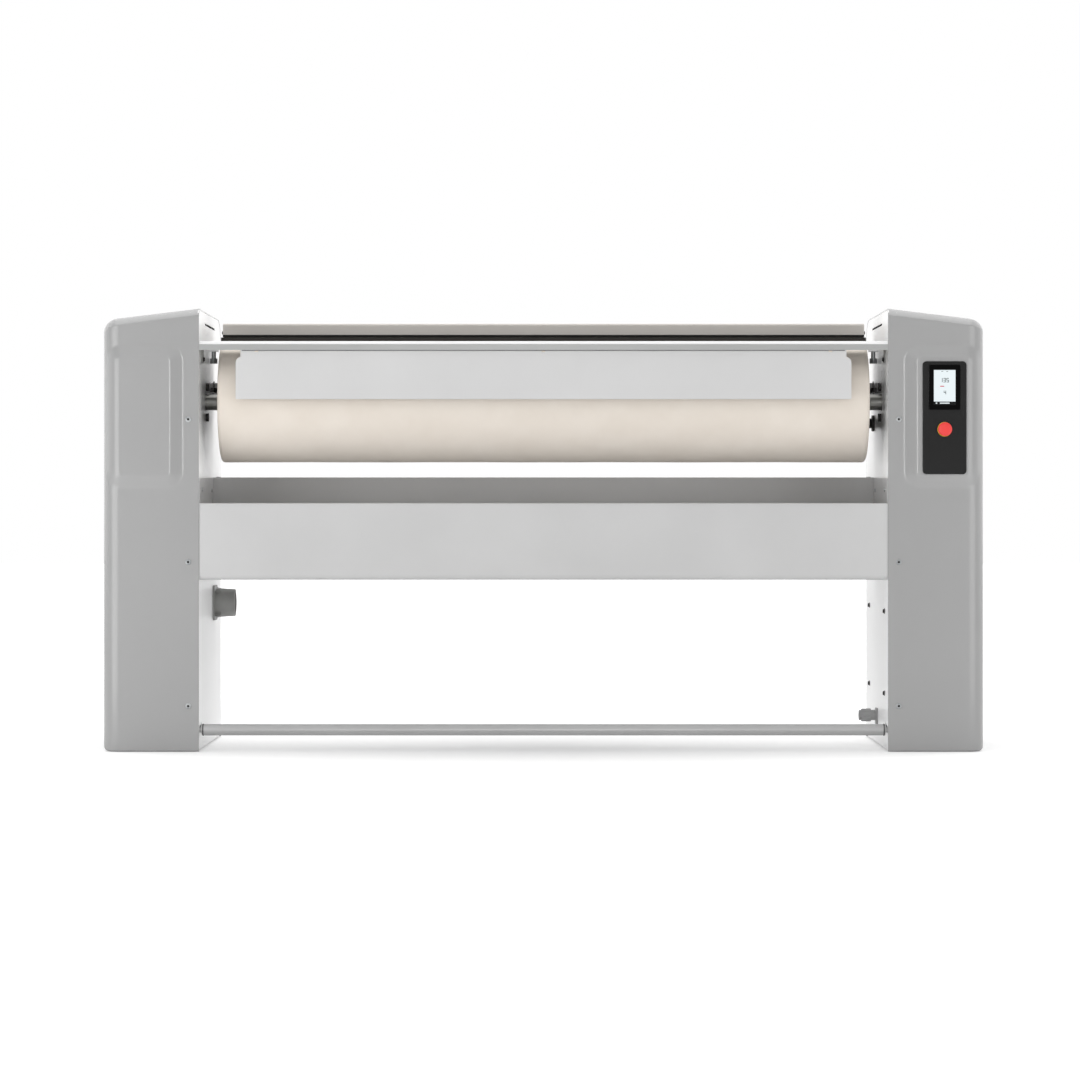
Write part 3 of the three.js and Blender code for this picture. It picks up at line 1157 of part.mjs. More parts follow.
/** Curved shoe with a boss for each heating element. */
function heatedChest() {
  const outer = arc(ROLLER_Y, ROLLER_Z, CHEST_OUTER, CHEST_FROM, CHEST_TO, 14);
  const inner = arc(ROLLER_Y, ROLLER_Z, CHEST_BORE, CHEST_TO, CHEST_FROM, 14);
  const shoe = prism('x', [...outer, ...inner], -CHEST_HALF, CHEST_HALF);
  const bosses = HEATER_ANGLES.map((angle) => rod('x', HEATER_BOSS_RADIUS, -CHEST_HALF, CHEST_HALF,
    onRoller(heaterRing(), angle), 12));
  const holes = HEATER_ANGLES.map((angle) => bore('x', HEATER_RADIUS, SEAT_GAP, -CHEST_HALF - 1,
    CHEST_HALF + 1, onRoller(heaterRing(), angle), 12));
  return cut(join(shoe, ...bosses), ...holes);
}

/** Folded hood over the chest's back, closed by an end plate at each end. */
function chestHood() {
  const outerX = CHEST_HALF + SEAT_GAP + HOOD_SHEET + 1.2;
  const front = ROLLER_Y + HOOD_FRONT_FROM_AXIS;
  const back = ROLLER_Y + HOOD_BACK_FROM_AXIS;
  const low = ROLLER_Z + CHEST_OUTER + HOOD_ABOVE_CHEST - ROLLER_Z;
  const bottom = ROLLER_Z + low;
  const top = bottom + HOOD_FACE_HEIGHT;
  const tail = onRoller(CHEST_OUTER + 20, -22);
  const corners = [
    [front, bottom],
    [front, top, 5],
    [back, top, 14],
    [back, ROLLER_Z - HOOD_TAIL_BELOW_AXIS + 20, 14],
    tail,
  ];
  const skin = prism('x', sheet(rounded(corners, 4, false), HOOD_SHEET), -outerX, outerX);
  const inner = arc(ROLLER_Y, ROLLER_Z, CHEST_OUTER + 2, -18, 44, 8);
  const cheek = [...rounded(corners, 4, false), ...inner];
  const ends = [LEFT, RIGHT].map((side) => prism('x', cheek, side * outerX, side * (outerX - HOOD_SHEET)));
  return join(skin, ...ends);
}

const hangerX = () => CHEST_HALF + 2 * SEAT_GAP + HOOD_SHEET + 1.2;

/** Hanger bolted to the chest's end: plate, stub through the side frame and stop bar. */
function chestHanger(side) {
  const [x0, x1] = [hangerX(), hangerX() + HANGER_THICK];
  const root = onRoller(CHEST_BORE + CHEST_THICK / 2, 13);
  const stub = [STUB_Y, STUB_Z];
  const plate = prism('x', link(root, HANGER_LUG_RADIUS - 4, stub, HANGER_LUG_RADIUS), side * x0, side * x1);
  const foot = prism('x', [...arc(ROLLER_Y, ROLLER_Z, CHEST_OUTER - 1, 8, 18, 2),
    ...arc(ROLLER_Y, ROLLER_Z, CHEST_BORE + 1, 18, 8, 2)], side * (CHEST_HALF + SEAT_GAP), side * (x0 + 1));
  const pin = rod('x', STUB_RADIUS, side * (x0 + 1), side * (ARM_OUTER + 4), stub, 20);
  const barX = x1 + 8;
  const barBottom = ROLLER_Z + JOURNAL_RADIUS + STOP_BAR_OVER_JOURNAL;
  const bar = prism('x', rounded([
    [ROLLER_Y + STOP_BAR_FROM_AXIS, barBottom, 2],
    [STUB_Y, barBottom],
    [STUB_Y, STUB_Z + STUB_RADIUS - 2, 2],
    [STUB_Y - 30, STUB_Z + STUB_RADIUS - 2, 6],
    [STUB_Y - 60, barBottom + STOP_BAR_HEIGHT, 6],
    [ROLLER_Y + STOP_BAR_FROM_AXIS, barBottom + STOP_BAR_HEIGHT, 4],
  ], 2), side * barX, side * (barX + HANGER_THICK));
  return join(plate, foot, pin, bar);
}

/** Cabinet arm from the torsion shaft up to the stub; the left one carries the lever. */
function chestArm(side) {
  const [x0, x1] = [side * ARM_INNER, side * ARM_OUTER];
  const pivot = [PIVOT_Y, PIVOT_Z];
  const stub = [STUB_Y, STUB_Z];
  const arm = prism('x', link(pivot, ARM_HUB_RADIUS, stub, HANGER_LUG_RADIUS), x0, x1);
  const holes = [
    bore('x', TORSION_RADIUS, SEAT_GAP, x0 - side, x1 + side, pivot, 16),
    bore('x', STUB_RADIUS, SEAT_GAP, x0 - side, x1 + side, stub, 16),
  ];
  if (side === RIGHT) return cut(arm, ...holes);
  const lever = prism('x', link(pivot, ARM_HUB_RADIUS, [LEVER_Y, LEVER_Z], LEVER_LUG_RADIUS), x0, x1);
  const eye = bore('x', LINK_PIN_RADIUS, LINK_PIN_GAP, x0 - side, x1 + side, [LEVER_Y, LEVER_Z], 16);
  return cut(join(arm, lever), ...holes, eye);
}

/** Hex screw that hangs from its bracket on the side frame and limits the chest's lift. */
function stopBolt(side) {
  const place = [side * (PANEL_X - 10.5), ROLLER_Y + STOP_BOLT_BEHIND_AXIS];
  const bottom = ROLLER_Z + STOP_BOLT_ABOVE_AXIS;
  const bracket = stopBracketZ();
  const nutZ = bracket + STOP_BRACKET_THICK + SEAT_GAP;
  const head = rod('z', STOP_BOLT_HEX / 2, bottom, bottom + STOP_BOLT_HEAD, place, 6);
  const shank = rod('z', STOP_BOLT_RADIUS, bottom + 1, nutZ + 14, place, 12);
  const nut = rod('z', STOP_BOLT_HEX / 2 - 1, nutZ, nutZ + 8, place, 6);
  return join(head, shank, nut);
}

addPart('heated_chest', heatedChest(), FINISH.blackShoe);
['upper', 'lower'].forEach((name, i) => {
  const element = rod('x', HEATER_RADIUS, -CHEST_HALF + 1, CHEST_HALF - 1,
    onRoller(heaterRing(), HEATER_ANGLES[i]), 12);
  addPart(`${name}_heating_element`, element, FINISH.steel);
});
addPart('chest_hood', chestHood(), FINISH.hood);
addPart('torsion_shaft', rod('x', TORSION_RADIUS, -ARM_OUTER - 4, ARM_OUTER + 4, [PIVOT_Y, PIVOT_Z]),
  FINISH.steel);
[LEFT, RIGHT].forEach((side) => {
  addPart(`${sideName(side)}_chest_hanger`, chestHanger(side), FINISH.darkSteel);
  addPart(`${sideName(side)}_chest_arm`, chestArm(side), FINISH.zinc);
  addPart(`${sideName(side)}_stop_bolt`, stopBolt(side), FINISH.zinc);
});

// ---------------------------------------------------------------- chest actuator, left cabinet
const armMiddle = () => (ARM_INNER + ARM_OUTER) / 2;
const forkBottom = () => LEVER_Z - LEVER_LUG_RADIUS - 4;
const actuatorTop = () => forkBottom() - ACTUATOR_ROD_OUT;

function actuatorBody() {
  const [x, y] = [-armMiddle(), LEVER_Y];
  const bottom = actuatorTop() - ACTUATOR_LENGTH;
  const tube = rod('z', ACTUATOR_RADIUS, bottom, actuatorTop(), [x, y]);
  const motorY = y - ACTUATOR_RADIUS - ACTUATOR_MOTOR_RADIUS + 2;
  const motor = rod('z', ACTUATOR_MOTOR_RADIUS, bottom, bottom + ACTUATOR_MOTOR_LENGTH, [x, motorY], 20);
  const eye = rod('x', 12, x - 10, x + 10, [y, bottom - 6], 16);
  const pin = rod('x', 7, x, -(BEHIND_FRAME + SEAT_GAP), [y, bottom - 6], 12);
  const well = bore('z', ACTUATOR_ROD_RADIUS, RUN_GAP, actuatorTop() - 90, actuatorTop() + 1, [x, y], 16);
  return cut(join(tube, motor, eye, pin), well);
}

function actuatorRod() {
  const [x, y] = [-armMiddle(), LEVER_Y];
  const inner = ARM_THICK / 2 + RUN_GAP;
  const outer = inner + FORK_CHEEK;
  const top = LEVER_Z + FORK_WIDTH / 2 + 2;
  const fork = block(x - outer, x + outer, y - FORK_WIDTH / 2, y + FORK_WIDTH / 2, forkBottom() - 8, top);
  const slot = block(x - inner, x + inner, y - FORK_WIDTH, y + FORK_WIDTH, forkBottom(), top + 1);
  const pin = rod('x', LINK_PIN_RADIUS, x - outer - 3, x + outer + 3, [LEVER_Y, LEVER_Z], 16);
  const stem = rod('z', ACTUATOR_ROD_RADIUS, actuatorTop() - 55, forkBottom() - 7, [x, y], 16);
  return join(cut(fork, slot), pin, stem);
}

addPart('chest_actuator', actuatorBody(), FINISH.aluminium);
addPart('actuator_rod', actuatorRod(), FINISH.zinc);

// ---------------------------------------------------------------- vapour extraction, left cabinet
/** Spiral outline of the fan case with a straight outlet neck pointing down. */
function scrollOutline(inset) {
  const steps = 12;
  const spiral = Array.from({ length: steps + 1 }, (_, i) => {
    const angle = -2 * Math.PI * (i / steps);
    const radius = SCROLL_START + (SCROLL_END - SCROLL_START) * (i / steps) - inset;
    return [ROLLER_Y + radius * Math.cos(angle), FAN_Z + radius * Math.sin(angle)];
  });
  const neckEnd = FAN_Z - SCROLL_NECK - (inset > 0 ? 1 : 0);
  return { spiral, neckEnd };
}

const neckY = () => ROLLER_Y + (SCROLL_START + SCROLL_END) / 2;

function fanHousing() {
  const layer = (inset) => {
    const [x0, x1] = [-(FAN_X + inset), -(FAN_X + FAN_WIDTH - inset)];
    const { spiral, neckEnd } = scrollOutline(inset);
    const neck = block(x0, x1, ROLLER_Y + SCROLL_START + inset, ROLLER_Y + SCROLL_END - inset,
      neckEnd + 12, FAN_Z);
    return join(prism('x', spiral, x0, x1), neck);
  };
  const middleX = -(FAN_X + FAN_WIDTH / 2);
  const collarEnd = FAN_Z - SCROLL_NECK;
  const collar = rod('z', HOSE_BORE - HOSE_SLACK, collarEnd - FAN_COLLAR, collarEnd + 14,
    [middleX, neckY()]);
  const inlet = rod('x', ductOuter() + SEAT_GAP + 4, -(FAN_X - 14), -(FAN_X + 1), [ROLLER_Y, FAN_Z]);
  const motor = rod('x', FAN_MOTOR_RADIUS, -(FAN_X + FAN_WIDTH - 26), -(FAN_X + FAN_WIDTH + 9),
    [ROLLER_Y, FAN_Z]);
  const shell = cut(join(layer(0), collar, inlet), layer(FAN_WALL),
    rod('z', HOSE_BORE - 4, collarEnd - FAN_COLLAR - 1, collarEnd + 16, [middleX, neckY()]),
    bore('x', ductOuter(), SEAT_GAP, -(FAN_X - 15), -(FAN_X + FAN_WALL + 1), [ROLLER_Y, FAN_Z]));
  return cut(join(shell, motor), bore('x', 6, RUN_GAP, -(FAN_X + FAN_WIDTH - 27),
    -(FAN_X + FAN_WIDTH), [ROLLER_Y, FAN_Z], 12));
}

/** Fan wheel: back disc, curved blades and front ring on a short spindle. */
function fanWheel() {
  const back = -(FAN_X + FAN_WIDTH - 26 - 3);
  const front = -(FAN_X + FAN_WALL + 4);
  const centre = [ROLLER_Y, FAN_Z];
  const disc = rod('x', WHEEL_RADIUS, back, back + 2.5, centre, 22);
  const ring = cut(rod('x', WHEEL_RADIUS, front - 2.5, front, centre, 22),
    rod('x', WHEEL_RADIUS - 9, front - 4, front + 1, centre, 22));
  const blades = Array.from({ length: WHEEL_BLADES }, (_, i) => {
    const start = (FULL_TURN * i) / WHEEL_BLADES;
    const curve = [0, 4, 11].map((turn, k) => {
      const radius = WHEEL_RADIUS - 1 - 7 * (2 - k) / 2;
      return [ROLLER_Y + radius * Math.cos((start + turn) * DEGREE),
        FAN_Z + radius * Math.sin((start + turn) * DEGREE)];
    });
    return prism('x', sheet(curve, 1.4), back + 1, front - 1);
  });
  const spindle = rod('x', 6, back + 1, -(FAN_X + FAN_WIDTH - 6), centre, 12);
  return join(disc, ring, ...blades, spindle);
}

const ductOuter = () => boreFor(JOURNAL_RADIUS, RUN_GAP, 12) + DUCT_WALL;

/** Duct from the hollow left journal down to the fan's eye. */
function suctionDuct() {
  const x0 = -(PANEL_X + JOURNAL_REACH - 10);
  const xd = -(PANEL_X + DUCT_DROP_FROM_FRAME);
  const x1 = -(FAN_X - 6);
  const bend = 26;
  const at = (x, z) => new THREE.Vector3(x, ROLLER_Y, z);
  const upper = [at(xd + bend, ROLLER_Z), at(xd, ROLLER_Z), at(xd, ROLLER_Z - bend)];
  const lower = [at(xd, FAN_Z + bend), at(xd, FAN_Z), at(xd - bend, FAN_Z)];
  const route = new THREE.CurvePath();
  route.add(new THREE.LineCurve3(at(x0, ROLLER_Z), upper[0]));
  route.add(new THREE.QuadraticBezierCurve3(...upper));
  route.add(new THREE.LineCurve3(upper[2], lower[0]));
  route.add(new THREE.QuadraticBezierCurve3(...lower));
  route.add(new THREE.LineCurve3(lower[2], at(x1, FAN_Z)));
  const inside = flatRod(route, boreFor(JOURNAL_RADIUS, RUN_GAP, 12), 3, 12);
  return cut(flatRod(route, ductOuter(), 3, 12), inside);
}

/** Hose from the fan's outlet to the spigot on the side frame. */
function exhaustHose() {
  const top = FAN_Z - SCROLL_NECK - SEAT_GAP;
  const x0 = -(FAN_X + FAN_WIDTH / 2);
  const x1 = -(BEHIND_FRAME + 3);
  const route = new THREE.CatmullRomCurve3([
    new THREE.Vector3(x0, neckY(), top),
    new THREE.Vector3(x0, neckY(), top - 12),
    new THREE.Vector3(x0, neckY(), top - 26),
    new THREE.Vector3(x0 + 30, neckY() + 58, SPIGOT_HEIGHT + 8),
    new THREE.Vector3(x1 - 66, spigotY() - 10, SPIGOT_HEIGHT),
    new THREE.Vector3(x1 - 28, spigotY(), SPIGOT_HEIGHT),
    new THREE.Vector3(x1 - 14, spigotY(), SPIGOT_HEIGHT),
    new THREE.Vector3(x1, spigotY(), SPIGOT_HEIGHT),
  ]);
  return pipe(route, boreFor(HOSE_BORE - SEAT_GAP, SEAT_GAP, 10), HOSE_WALL, 9, 10);
}

/** Exhaust spigot with a square flange, gussets and a stub for the hose. */
function exhaustSpigot() {
  const face = PANEL_X - SEAT_GAP;
  const flangeEnd = face - 5;
  const tip = face - SPIGOT_LENGTH;
  const stubEnd = BEHIND_FRAME + 24;
  const boreRadius = HOSE_BORE - SPIGOT_WALL;
  const profile = [[-stubEnd, boreRadius], [-stubEnd, HOSE_BORE - SEAT_GAP], [-face, HOSE_BORE - SEAT_GAP],
    [-face, SPIGOT_RADIUS + 2], [-tip, SPIGOT_RADIUS - 1.5], [-tip, boreRadius], [-stubEnd, boreRadius]];
  const tube = turned('x', profile, [spigotY(), SPIGOT_HEIGHT], 18);
  const half = SPIGOT_FLANGE / 2;
  const flange = prism('x', rectangle(spigotY() - half, spigotY() + half, SPIGOT_HEIGHT - half,
    SPIGOT_HEIGHT + half, 14, 4), -face, -flangeEnd);
  const gussets = [45, 135, 225, 315].map((angle) => {
    const rib = new THREE.BoxGeometry(16, 18, 3);
    rib.translate(0, SPIGOT_RADIUS + 3, 0).rotateX(angle * DEGREE);
    rib.translate(-flangeEnd + 6, spigotY(), SPIGOT_HEIGHT);
    return solid(rib);
  });
  const hole = rod('x', boreRadius, -tip + 1, -stubEnd - 1, [spigotY(), SPIGOT_HEIGHT], 18);
  return cut(join(tube, flange, ...gussets), hole);
}

addPart('fan_housing', fanHousing(), FINISH.aluminium);
addPart('fan_wheel', fanWheel(), FINISH.zinc);
addPart('suction_duct', suctionDuct(), FINISH.greySheet);
addPart('exhaust_hose', exhaustHose(), FINISH.darkSteel);
addPart('exhaust_spigot', exhaustSpigot(), FINISH.spigot);

// ---------------------------------------------------------------- pedal bar
function pedalBar() {
  const half = PANEL_X - PEDAL_END_GAP;
  const place = [PEDAL_Y, PEDAL_HEIGHT];
  const bar = rod('x', PEDAL_RADIUS, -half, half, place, 20);
  const end = BEHIND_FRAME + PEDAL_ARM_FROM_FRAME + PEDAL_ARM_THICK + 3;
  return join(bar, rod('x', PEDAL_PIN_RADIUS, -end, end, place, 14));
}

function pedalArm(side) {
  const x0 = side * (BEHIND_FRAME + PEDAL_ARM_FROM_FRAME);
  const x1 = side * (BEHIND_FRAME + PEDAL_ARM_FROM_FRAME + PEDAL_ARM_THICK);
  const [pivot, pin] = [[PEDAL_Y, PEDAL_PIVOT_Z], [PEDAL_Y, PEDAL_HEIGHT]];
  const hub = rod('x', PEDAL_HUB_RADIUS - 1, x0, x1 + side * 6, pivot, 16);
  const arm = prism('x', link(pivot, PEDAL_HUB_RADIUS, pin, PEDAL_HUB_RADIUS - 1), x0, x1);
  return cut(join(arm, hub), bore('x', PEDAL_PIVOT_RADIUS, RUN_GAP, x0 - side * 2, x1 + side * 8, pivot, 16),
    bore('x', PEDAL_PIN_RADIUS, SEAT_GAP, x0 - side, x1 + side, pin, 14));
}

/** Torsion spring wound round the left pedal pivot between the frame and the arm. */
function pedalSpring() {
  const coil = PEDAL_PIVOT_RADIUS + RUN_GAP + SPRING_WIRE;
  const x0 = -(BEHIND_FRAME + SEAT_GAP + SPRING_WIRE / 2);
  const room = PEDAL_ARM_FROM_FRAME - 2 * SEAT_GAP - SPRING_WIRE;
  const points = Array.from({ length: SPRING_TURNS * SPRING_STEPS + 1 }, (_, i) => {
    const angle = (i / SPRING_STEPS) * 2 * Math.PI;
    const along = (i / (SPRING_TURNS * SPRING_STEPS)) * room;
    return new THREE.Vector3(x0 - along, PEDAL_Y + coil * Math.cos(angle),
      PEDAL_PIVOT_Z + coil * Math.sin(angle));
  });
  const ring = circle(SPRING_WIRE / 2, 5).map(([u, v]) => new THREE.Vector2(u, v));
  const route = new THREE.CatmullRomCurve3(points);
  return solid(new THREE.ExtrudeGeometry(new THREE.Shape(ring),
    { steps: SPRING_TURNS * SPRING_STEPS, extrudePath: route, bevelEnabled: false }));
}

addPart('pedal_bar', pedalBar(), FINISH.pedal);
addPart('left_pedal_arm', pedalArm(LEFT), FINISH.zinc);
addPart('right_pedal_arm', pedalArm(RIGHT), FINISH.zinc);
addPart('pedal_spring', pedalSpring(), FINISH.steel);

// ---------------------------------------------------------------- controls, right cover
function controlPlate() {
  const outline = rectangle(PLATE_X - PLATE_WIDTH / 2, PLATE_X + PLATE_WIDTH / 2,
    PLATE_Z - PLATE_HEIGHT / 2, PLATE_Z + PLATE_HEIGHT / 2, PLATE_CORNER, 4);
  const neck = STOP_STEM_RADIUS + RUN_GAP + STOP_NECK_WALL;
  const hole = bore('y', neck, SEAT_GAP, PLATE_FACE - 1, PAD_FACE, [PLATE_X, STOP_Z]);
  return cut(prism('y', outline, PLATE_FACE, PAD_FACE - SEAT_GAP), hole);
}

function displayBezel() {
  const front = PLATE_FACE - SEAT_GAP - BEZEL_THICK;
  const outline = rectangle(PLATE_X - BEZEL_WIDTH / 2, PLATE_X + BEZEL_WIDTH / 2,
    BEZEL_Z - BEZEL_HEIGHT / 2, BEZEL_Z + BEZEL_HEIGHT / 2, 4, 3);
  const window = rectangle(PLATE_X - SCREEN_WIDTH / 2 - SEAT_GAP, PLATE_X + SCREEN_WIDTH / 2 + SEAT_GAP,
    BEZEL_Z - SCREEN_HEIGHT / 2 - SEAT_GAP, BEZEL_Z + SCREEN_HEIGHT / 2 + SEAT_GAP);
  return prism('y', outline, front, PLATE_FACE - SEAT_GAP, [window]);
}

const displayScreen = () => block(PLATE_X - SCREEN_WIDTH / 2, PLATE_X + SCREEN_WIDTH / 2,
  PLATE_FACE - SEAT_GAP - SCREEN_THICK, PLATE_FACE - SEAT_GAP,
  BEZEL_Z - SCREEN_HEIGHT / 2, BEZEL_Z + SCREEN_HEIGHT / 2);

/** Mushroom button with its stem. */
function stopButton() {
  const front = PLATE_FACE - STOP_STANDOUT;
  const back = front + STOP_HEAD;
  const profile = [[front, 0], [front, STOP_RADIUS - 5], [front + 2, STOP_RADIUS - 1.5],
    [front + 4, STOP_RADIUS], [back, STOP_RADIUS - 1], [back, STOP_STEM_RADIUS],
    [PAD_FACE + STOP_BLOCK / 2, STOP_STEM_RADIUS], [PAD_FACE + STOP_BLOCK / 2, 0]];
  const geometry = new THREE.LatheGeometry(profile.map(([y, radius]) => new THREE.Vector2(radius, y)), 24);
  return solid(geometry.translate(PLATE_X, 0, STOP_Z));
}

/** Yellow collar, threaded neck and contact block of the emergency stop. */
function stopCollar() {
  const face = PLATE_FACE - SEAT_GAP;
  const place = [PLATE_X, STOP_Z];
  const neck = STOP_STEM_RADIUS + RUN_GAP + STOP_NECK_WALL;
  const flange = rod('y', STOP_COLLAR_RADIUS, face - STOP_COLLAR_THICK, face, place, 20);
  const inside = PAD_FACE + COVER_WALL + SEAT_GAP;
  const tube = rod('y', neck, face - 1, inside + 1, place);
  const half = STOP_BLOCK / 2;
  const contacts = block(PLATE_X - half, PLATE_X + half, inside, inside + STOP_BLOCK,
    STOP_Z - half, STOP_Z + half);
  const well = bore('y', STOP_STEM_RADIUS, RUN_GAP, face - STOP_COLLAR_THICK - 1,
    PAD_FACE + STOP_BLOCK / 2 + 7, place);
  return cut(join(flange, tube, contacts), well);
}

addPart('control_plate', controlPlate(), FINISH.plate);
addPart('display_bezel', displayBezel(), FINISH.black);
addPart('display_screen', displayScreen(), FINISH.screen);
addPart('emergency_stop_button', stopButton(), FINISH.red);
addPart('emergency_stop_collar', stopCollar(), FINISH.yellow);

// ---------------------------------------------------------------- electrics, right cabinet
/** Sheet-metal box for the contactors; its cable entry opens downwards. */
function electricalBox() {
  const x0 = BEHIND_FRAME + SEAT_GAP;
  const y0 = FACE_Y + BOX_FROM_FACE;
  const box = (inset) => block(x0 + inset, x0 + BOX_DEPTH - inset, y0 + inset, y0 + BOX_LENGTH - inset,
    BOX_BOTTOM + inset, BOX_BOTTOM + BOX_HEIGHT - inset);
  const entry = rod('z', 14, BOX_BOTTOM - 1, BOX_BOTTOM + 5, [x0 + BOX_DEPTH / 2, glandY()], 16);
  return cut(box(0), box(BOX_SHEET), entry);
}

/** Cable gland body: plate on the frame, neck through it and bore for the supply cable. */
function cableGland() {
  const face = PANEL_X - SEAT_GAP;
  const place = [glandY(), GLAND_HEIGHT];
  const half = GLAND_PLATE / 2;
  const plate = prism('x', rectangle(glandY() - half, glandY() + half, GLAND_HEIGHT - half - 6,
    GLAND_HEIGHT + half, 6, 3), face, face - 4);
  const neck = rod('x', GLAND_NECK_RADIUS, BEHIND_FRAME + 14, face - 28, place, 14);
  return cut(join(plate, neck), rod('x', GLAND_BORE, BEHIND_FRAME + 15, face - 29, place, 10));
}

function glandNut() {
  const face = PANEL_X - SEAT_GAP;
  const place = [glandY(), GLAND_HEIGHT];
  const inner = face - 16;
  const cap = rod('x', GLAND_NECK_RADIUS + 3, inner, face - 40, place, 12);
  const dome = rod('x', GLAND_NECK_RADIUS, face - 39, face - 46, place, 14);
  const thread = bore('x', GLAND_NECK_RADIUS, SEAT_GAP, inner + 1, face - 28 - SEAT_GAP, place, 14);
  return cut(join(cap, dome), thread, rod('x', GLAND_BORE, inner, face - 47, place, 10));
}

/** Rigid conduit that leads the heaters' wiring from the cabinet to the chest's end. */
function heaterConduit() {
  const place = [conduitY(), conduitZ()];
  const tube = rod('x', CONDUIT_RADIUS, hangerX() + 0.2, BEHIND_FRAME + 16, place, 14);
  const face = PANEL_X - SEAT_GAP;
  return join(tube, rod('x', CONDUIT_FLANGE_RADIUS, face, face - 6, place, 18));
}

addPart('electrical_box', electricalBox(), FINISH.zinc);
addPart('cable_gland', cableGland(), FINISH.gland);
addPart('gland_nut', glandNut(), FINISH.gland);
addPart('heater_conduit', heaterConduit(), FINISH.darkSteel);

export default group;
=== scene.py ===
"""Flatwork ironer: moulded covers, felt roller, small fittings, finishes, light and camera.

Metres throughout, +Z up, the operator stands on the -Y side. Sizes in the dataclasses are
millimetres unless a name says otherwise.
"""
import logging
import math
from dataclasses import dataclass
from enum import Enum, auto
from typing import Any, Iterable, Sequence

import bpy
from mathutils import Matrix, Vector


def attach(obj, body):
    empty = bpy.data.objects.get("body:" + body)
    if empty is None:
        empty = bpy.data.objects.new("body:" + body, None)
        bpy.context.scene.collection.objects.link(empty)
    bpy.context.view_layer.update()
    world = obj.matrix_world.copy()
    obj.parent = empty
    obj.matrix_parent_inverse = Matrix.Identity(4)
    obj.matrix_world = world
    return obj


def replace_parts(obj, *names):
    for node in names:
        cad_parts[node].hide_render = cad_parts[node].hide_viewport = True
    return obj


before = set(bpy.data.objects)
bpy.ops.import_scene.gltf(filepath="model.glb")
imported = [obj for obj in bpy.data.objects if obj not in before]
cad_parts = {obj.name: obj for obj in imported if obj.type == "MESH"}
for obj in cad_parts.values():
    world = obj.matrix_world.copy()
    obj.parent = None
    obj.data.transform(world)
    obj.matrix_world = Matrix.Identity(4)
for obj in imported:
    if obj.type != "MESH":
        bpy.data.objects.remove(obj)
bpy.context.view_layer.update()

LOG = logging.getLogger("ironer")
MM = 0.001  # metres in a millimetre
SMOOTH_DEG = 38.0  # steepest angle between faces that still shades smooth
BROKEN_DEG = 50.0  # edges steeper than this are broken
LARGE_FACES = 80  # 50 is neutral, 100 lets the normals follow the large faces alone
WELD_MM = 0.01
OPEN = (False, False)  # neither end of a skin is filled

Point = tuple[float, float, float]
Pair = tuple[float, float]
Faces = list[tuple[int, ...]]
Skin = tuple[list[Point], Faces]
Source = tuple[bpy.types.Node, str]


class Side(Enum):
    """The two cabinets, by the sign of X."""

    LEFT = -1
    RIGHT = 1

    @property
    def word(self) -> str:
        """Name used in the node names of this side."""
        return self.name.lower()


class Drive(Enum):
    """Form of a screw's head."""

    HEX_SOCKET = auto()
    HEX_HEAD = auto()


# ---------------------------------------------------------------- colour and nodes
def linear(code: str) -> tuple[float, float, float, float]:
    """Turns an sRGB hex colour into linear values.

    Args:
        code: Colour such as "#a9a9a9".

    Returns:
        Linear red, green, blue and an alpha of 1.
    """
    parts = [int(code[i:i + 2], 16) / 255 for i in (1, 3, 5)]
    lin = [c / 12.92 if c <= 0.04045 else ((c + 0.055) / 1.055) ** 2.4 for c in parts]
    return (lin[0], lin[1], lin[2], 1.0)


def add(tree: bpy.types.NodeTree, kind: str, settings: dict[str, Any] | None = None,
        links: dict[str | int, Source] | None = None) -> bpy.types.Node:
    """Adds a node with its settings and links.

    Args:
        tree: Node tree that takes the node.
        kind: Node type, such as "ShaderNodeBump".
        settings: Values for the node's properties or unlinked inputs, by name.
        links: Input name or index to the (node, output name) that feeds it.

    Returns:
        The new node.
    """
    node = tree.nodes.new(kind)
    for name, value in (settings or {}).items():
        if name in node.inputs:
            node.inputs[name].default_value = value
        else:
            setattr(node, name, value)
    for name, (source, output) in (links or {}).items():
        tree.links.new(source.outputs[output], node.inputs[name])
    return node


def empty_tree(owner: bpy.types.Material | bpy.types.World) -> bpy.types.NodeTree:
    """Gives a material or a world an empty node tree.

    Args:
        owner: The material or world.

    Returns:
        The tree.
    """
    owner.use_nodes = True
    owner.node_tree.nodes.clear()
    return owner.node_tree


# ---------------------------------------------------------------- finishes
class Grain(Enum):
    """Kinds of pattern: node, settings, output, and metres to a feature at scale 1."""

    CLOUDS = ("ShaderNodeTexNoise", {}, "Fac", 1.0)
    PEBBLES = ("ShaderNodeTexVoronoi", {"feature": "SMOOTH_F1"}, "Distance", 1.0)
    ROWS = ("ShaderNodeTexWave", {"bands_direction": "X", "Distortion": 1.5}, "Fac",
            math.tau / 20)


@dataclass(frozen=True)
class Pattern:
    """Procedural pattern whose features have a real size, and the relief that it gives."""

    size_mm: float
    octaves: float = 3.0
    depth_mm: float = 0.0
    strength: float = 0.0
    stretch: Point = (1.0, 1.0, 1.0)  # factor on the frequency along each axis
    grain: Grain = Grain.CLOUDS

    def laid(self, tree: bpy.types.NodeTree, place: bpy.types.Node) -> Source:
        """Adds the pattern to a material.

        Args:
            tree: The material's node tree.
            place: Texture coordinate node.

        Returns:
            The node and the output that carries the pattern.
        """
        kind, fixed, output, feature = self.grain.value
        spread = add(tree, "ShaderNodeMapping", {"Scale": self.stretch},
                     {"Vector": (place, "Object")})
        settings = {"Scale": feature / (self.size_mm * MM), "Detail": self.octaves, **fixed}
        return add(tree, kind, settings, {"Vector": (spread, "Vector")}), output


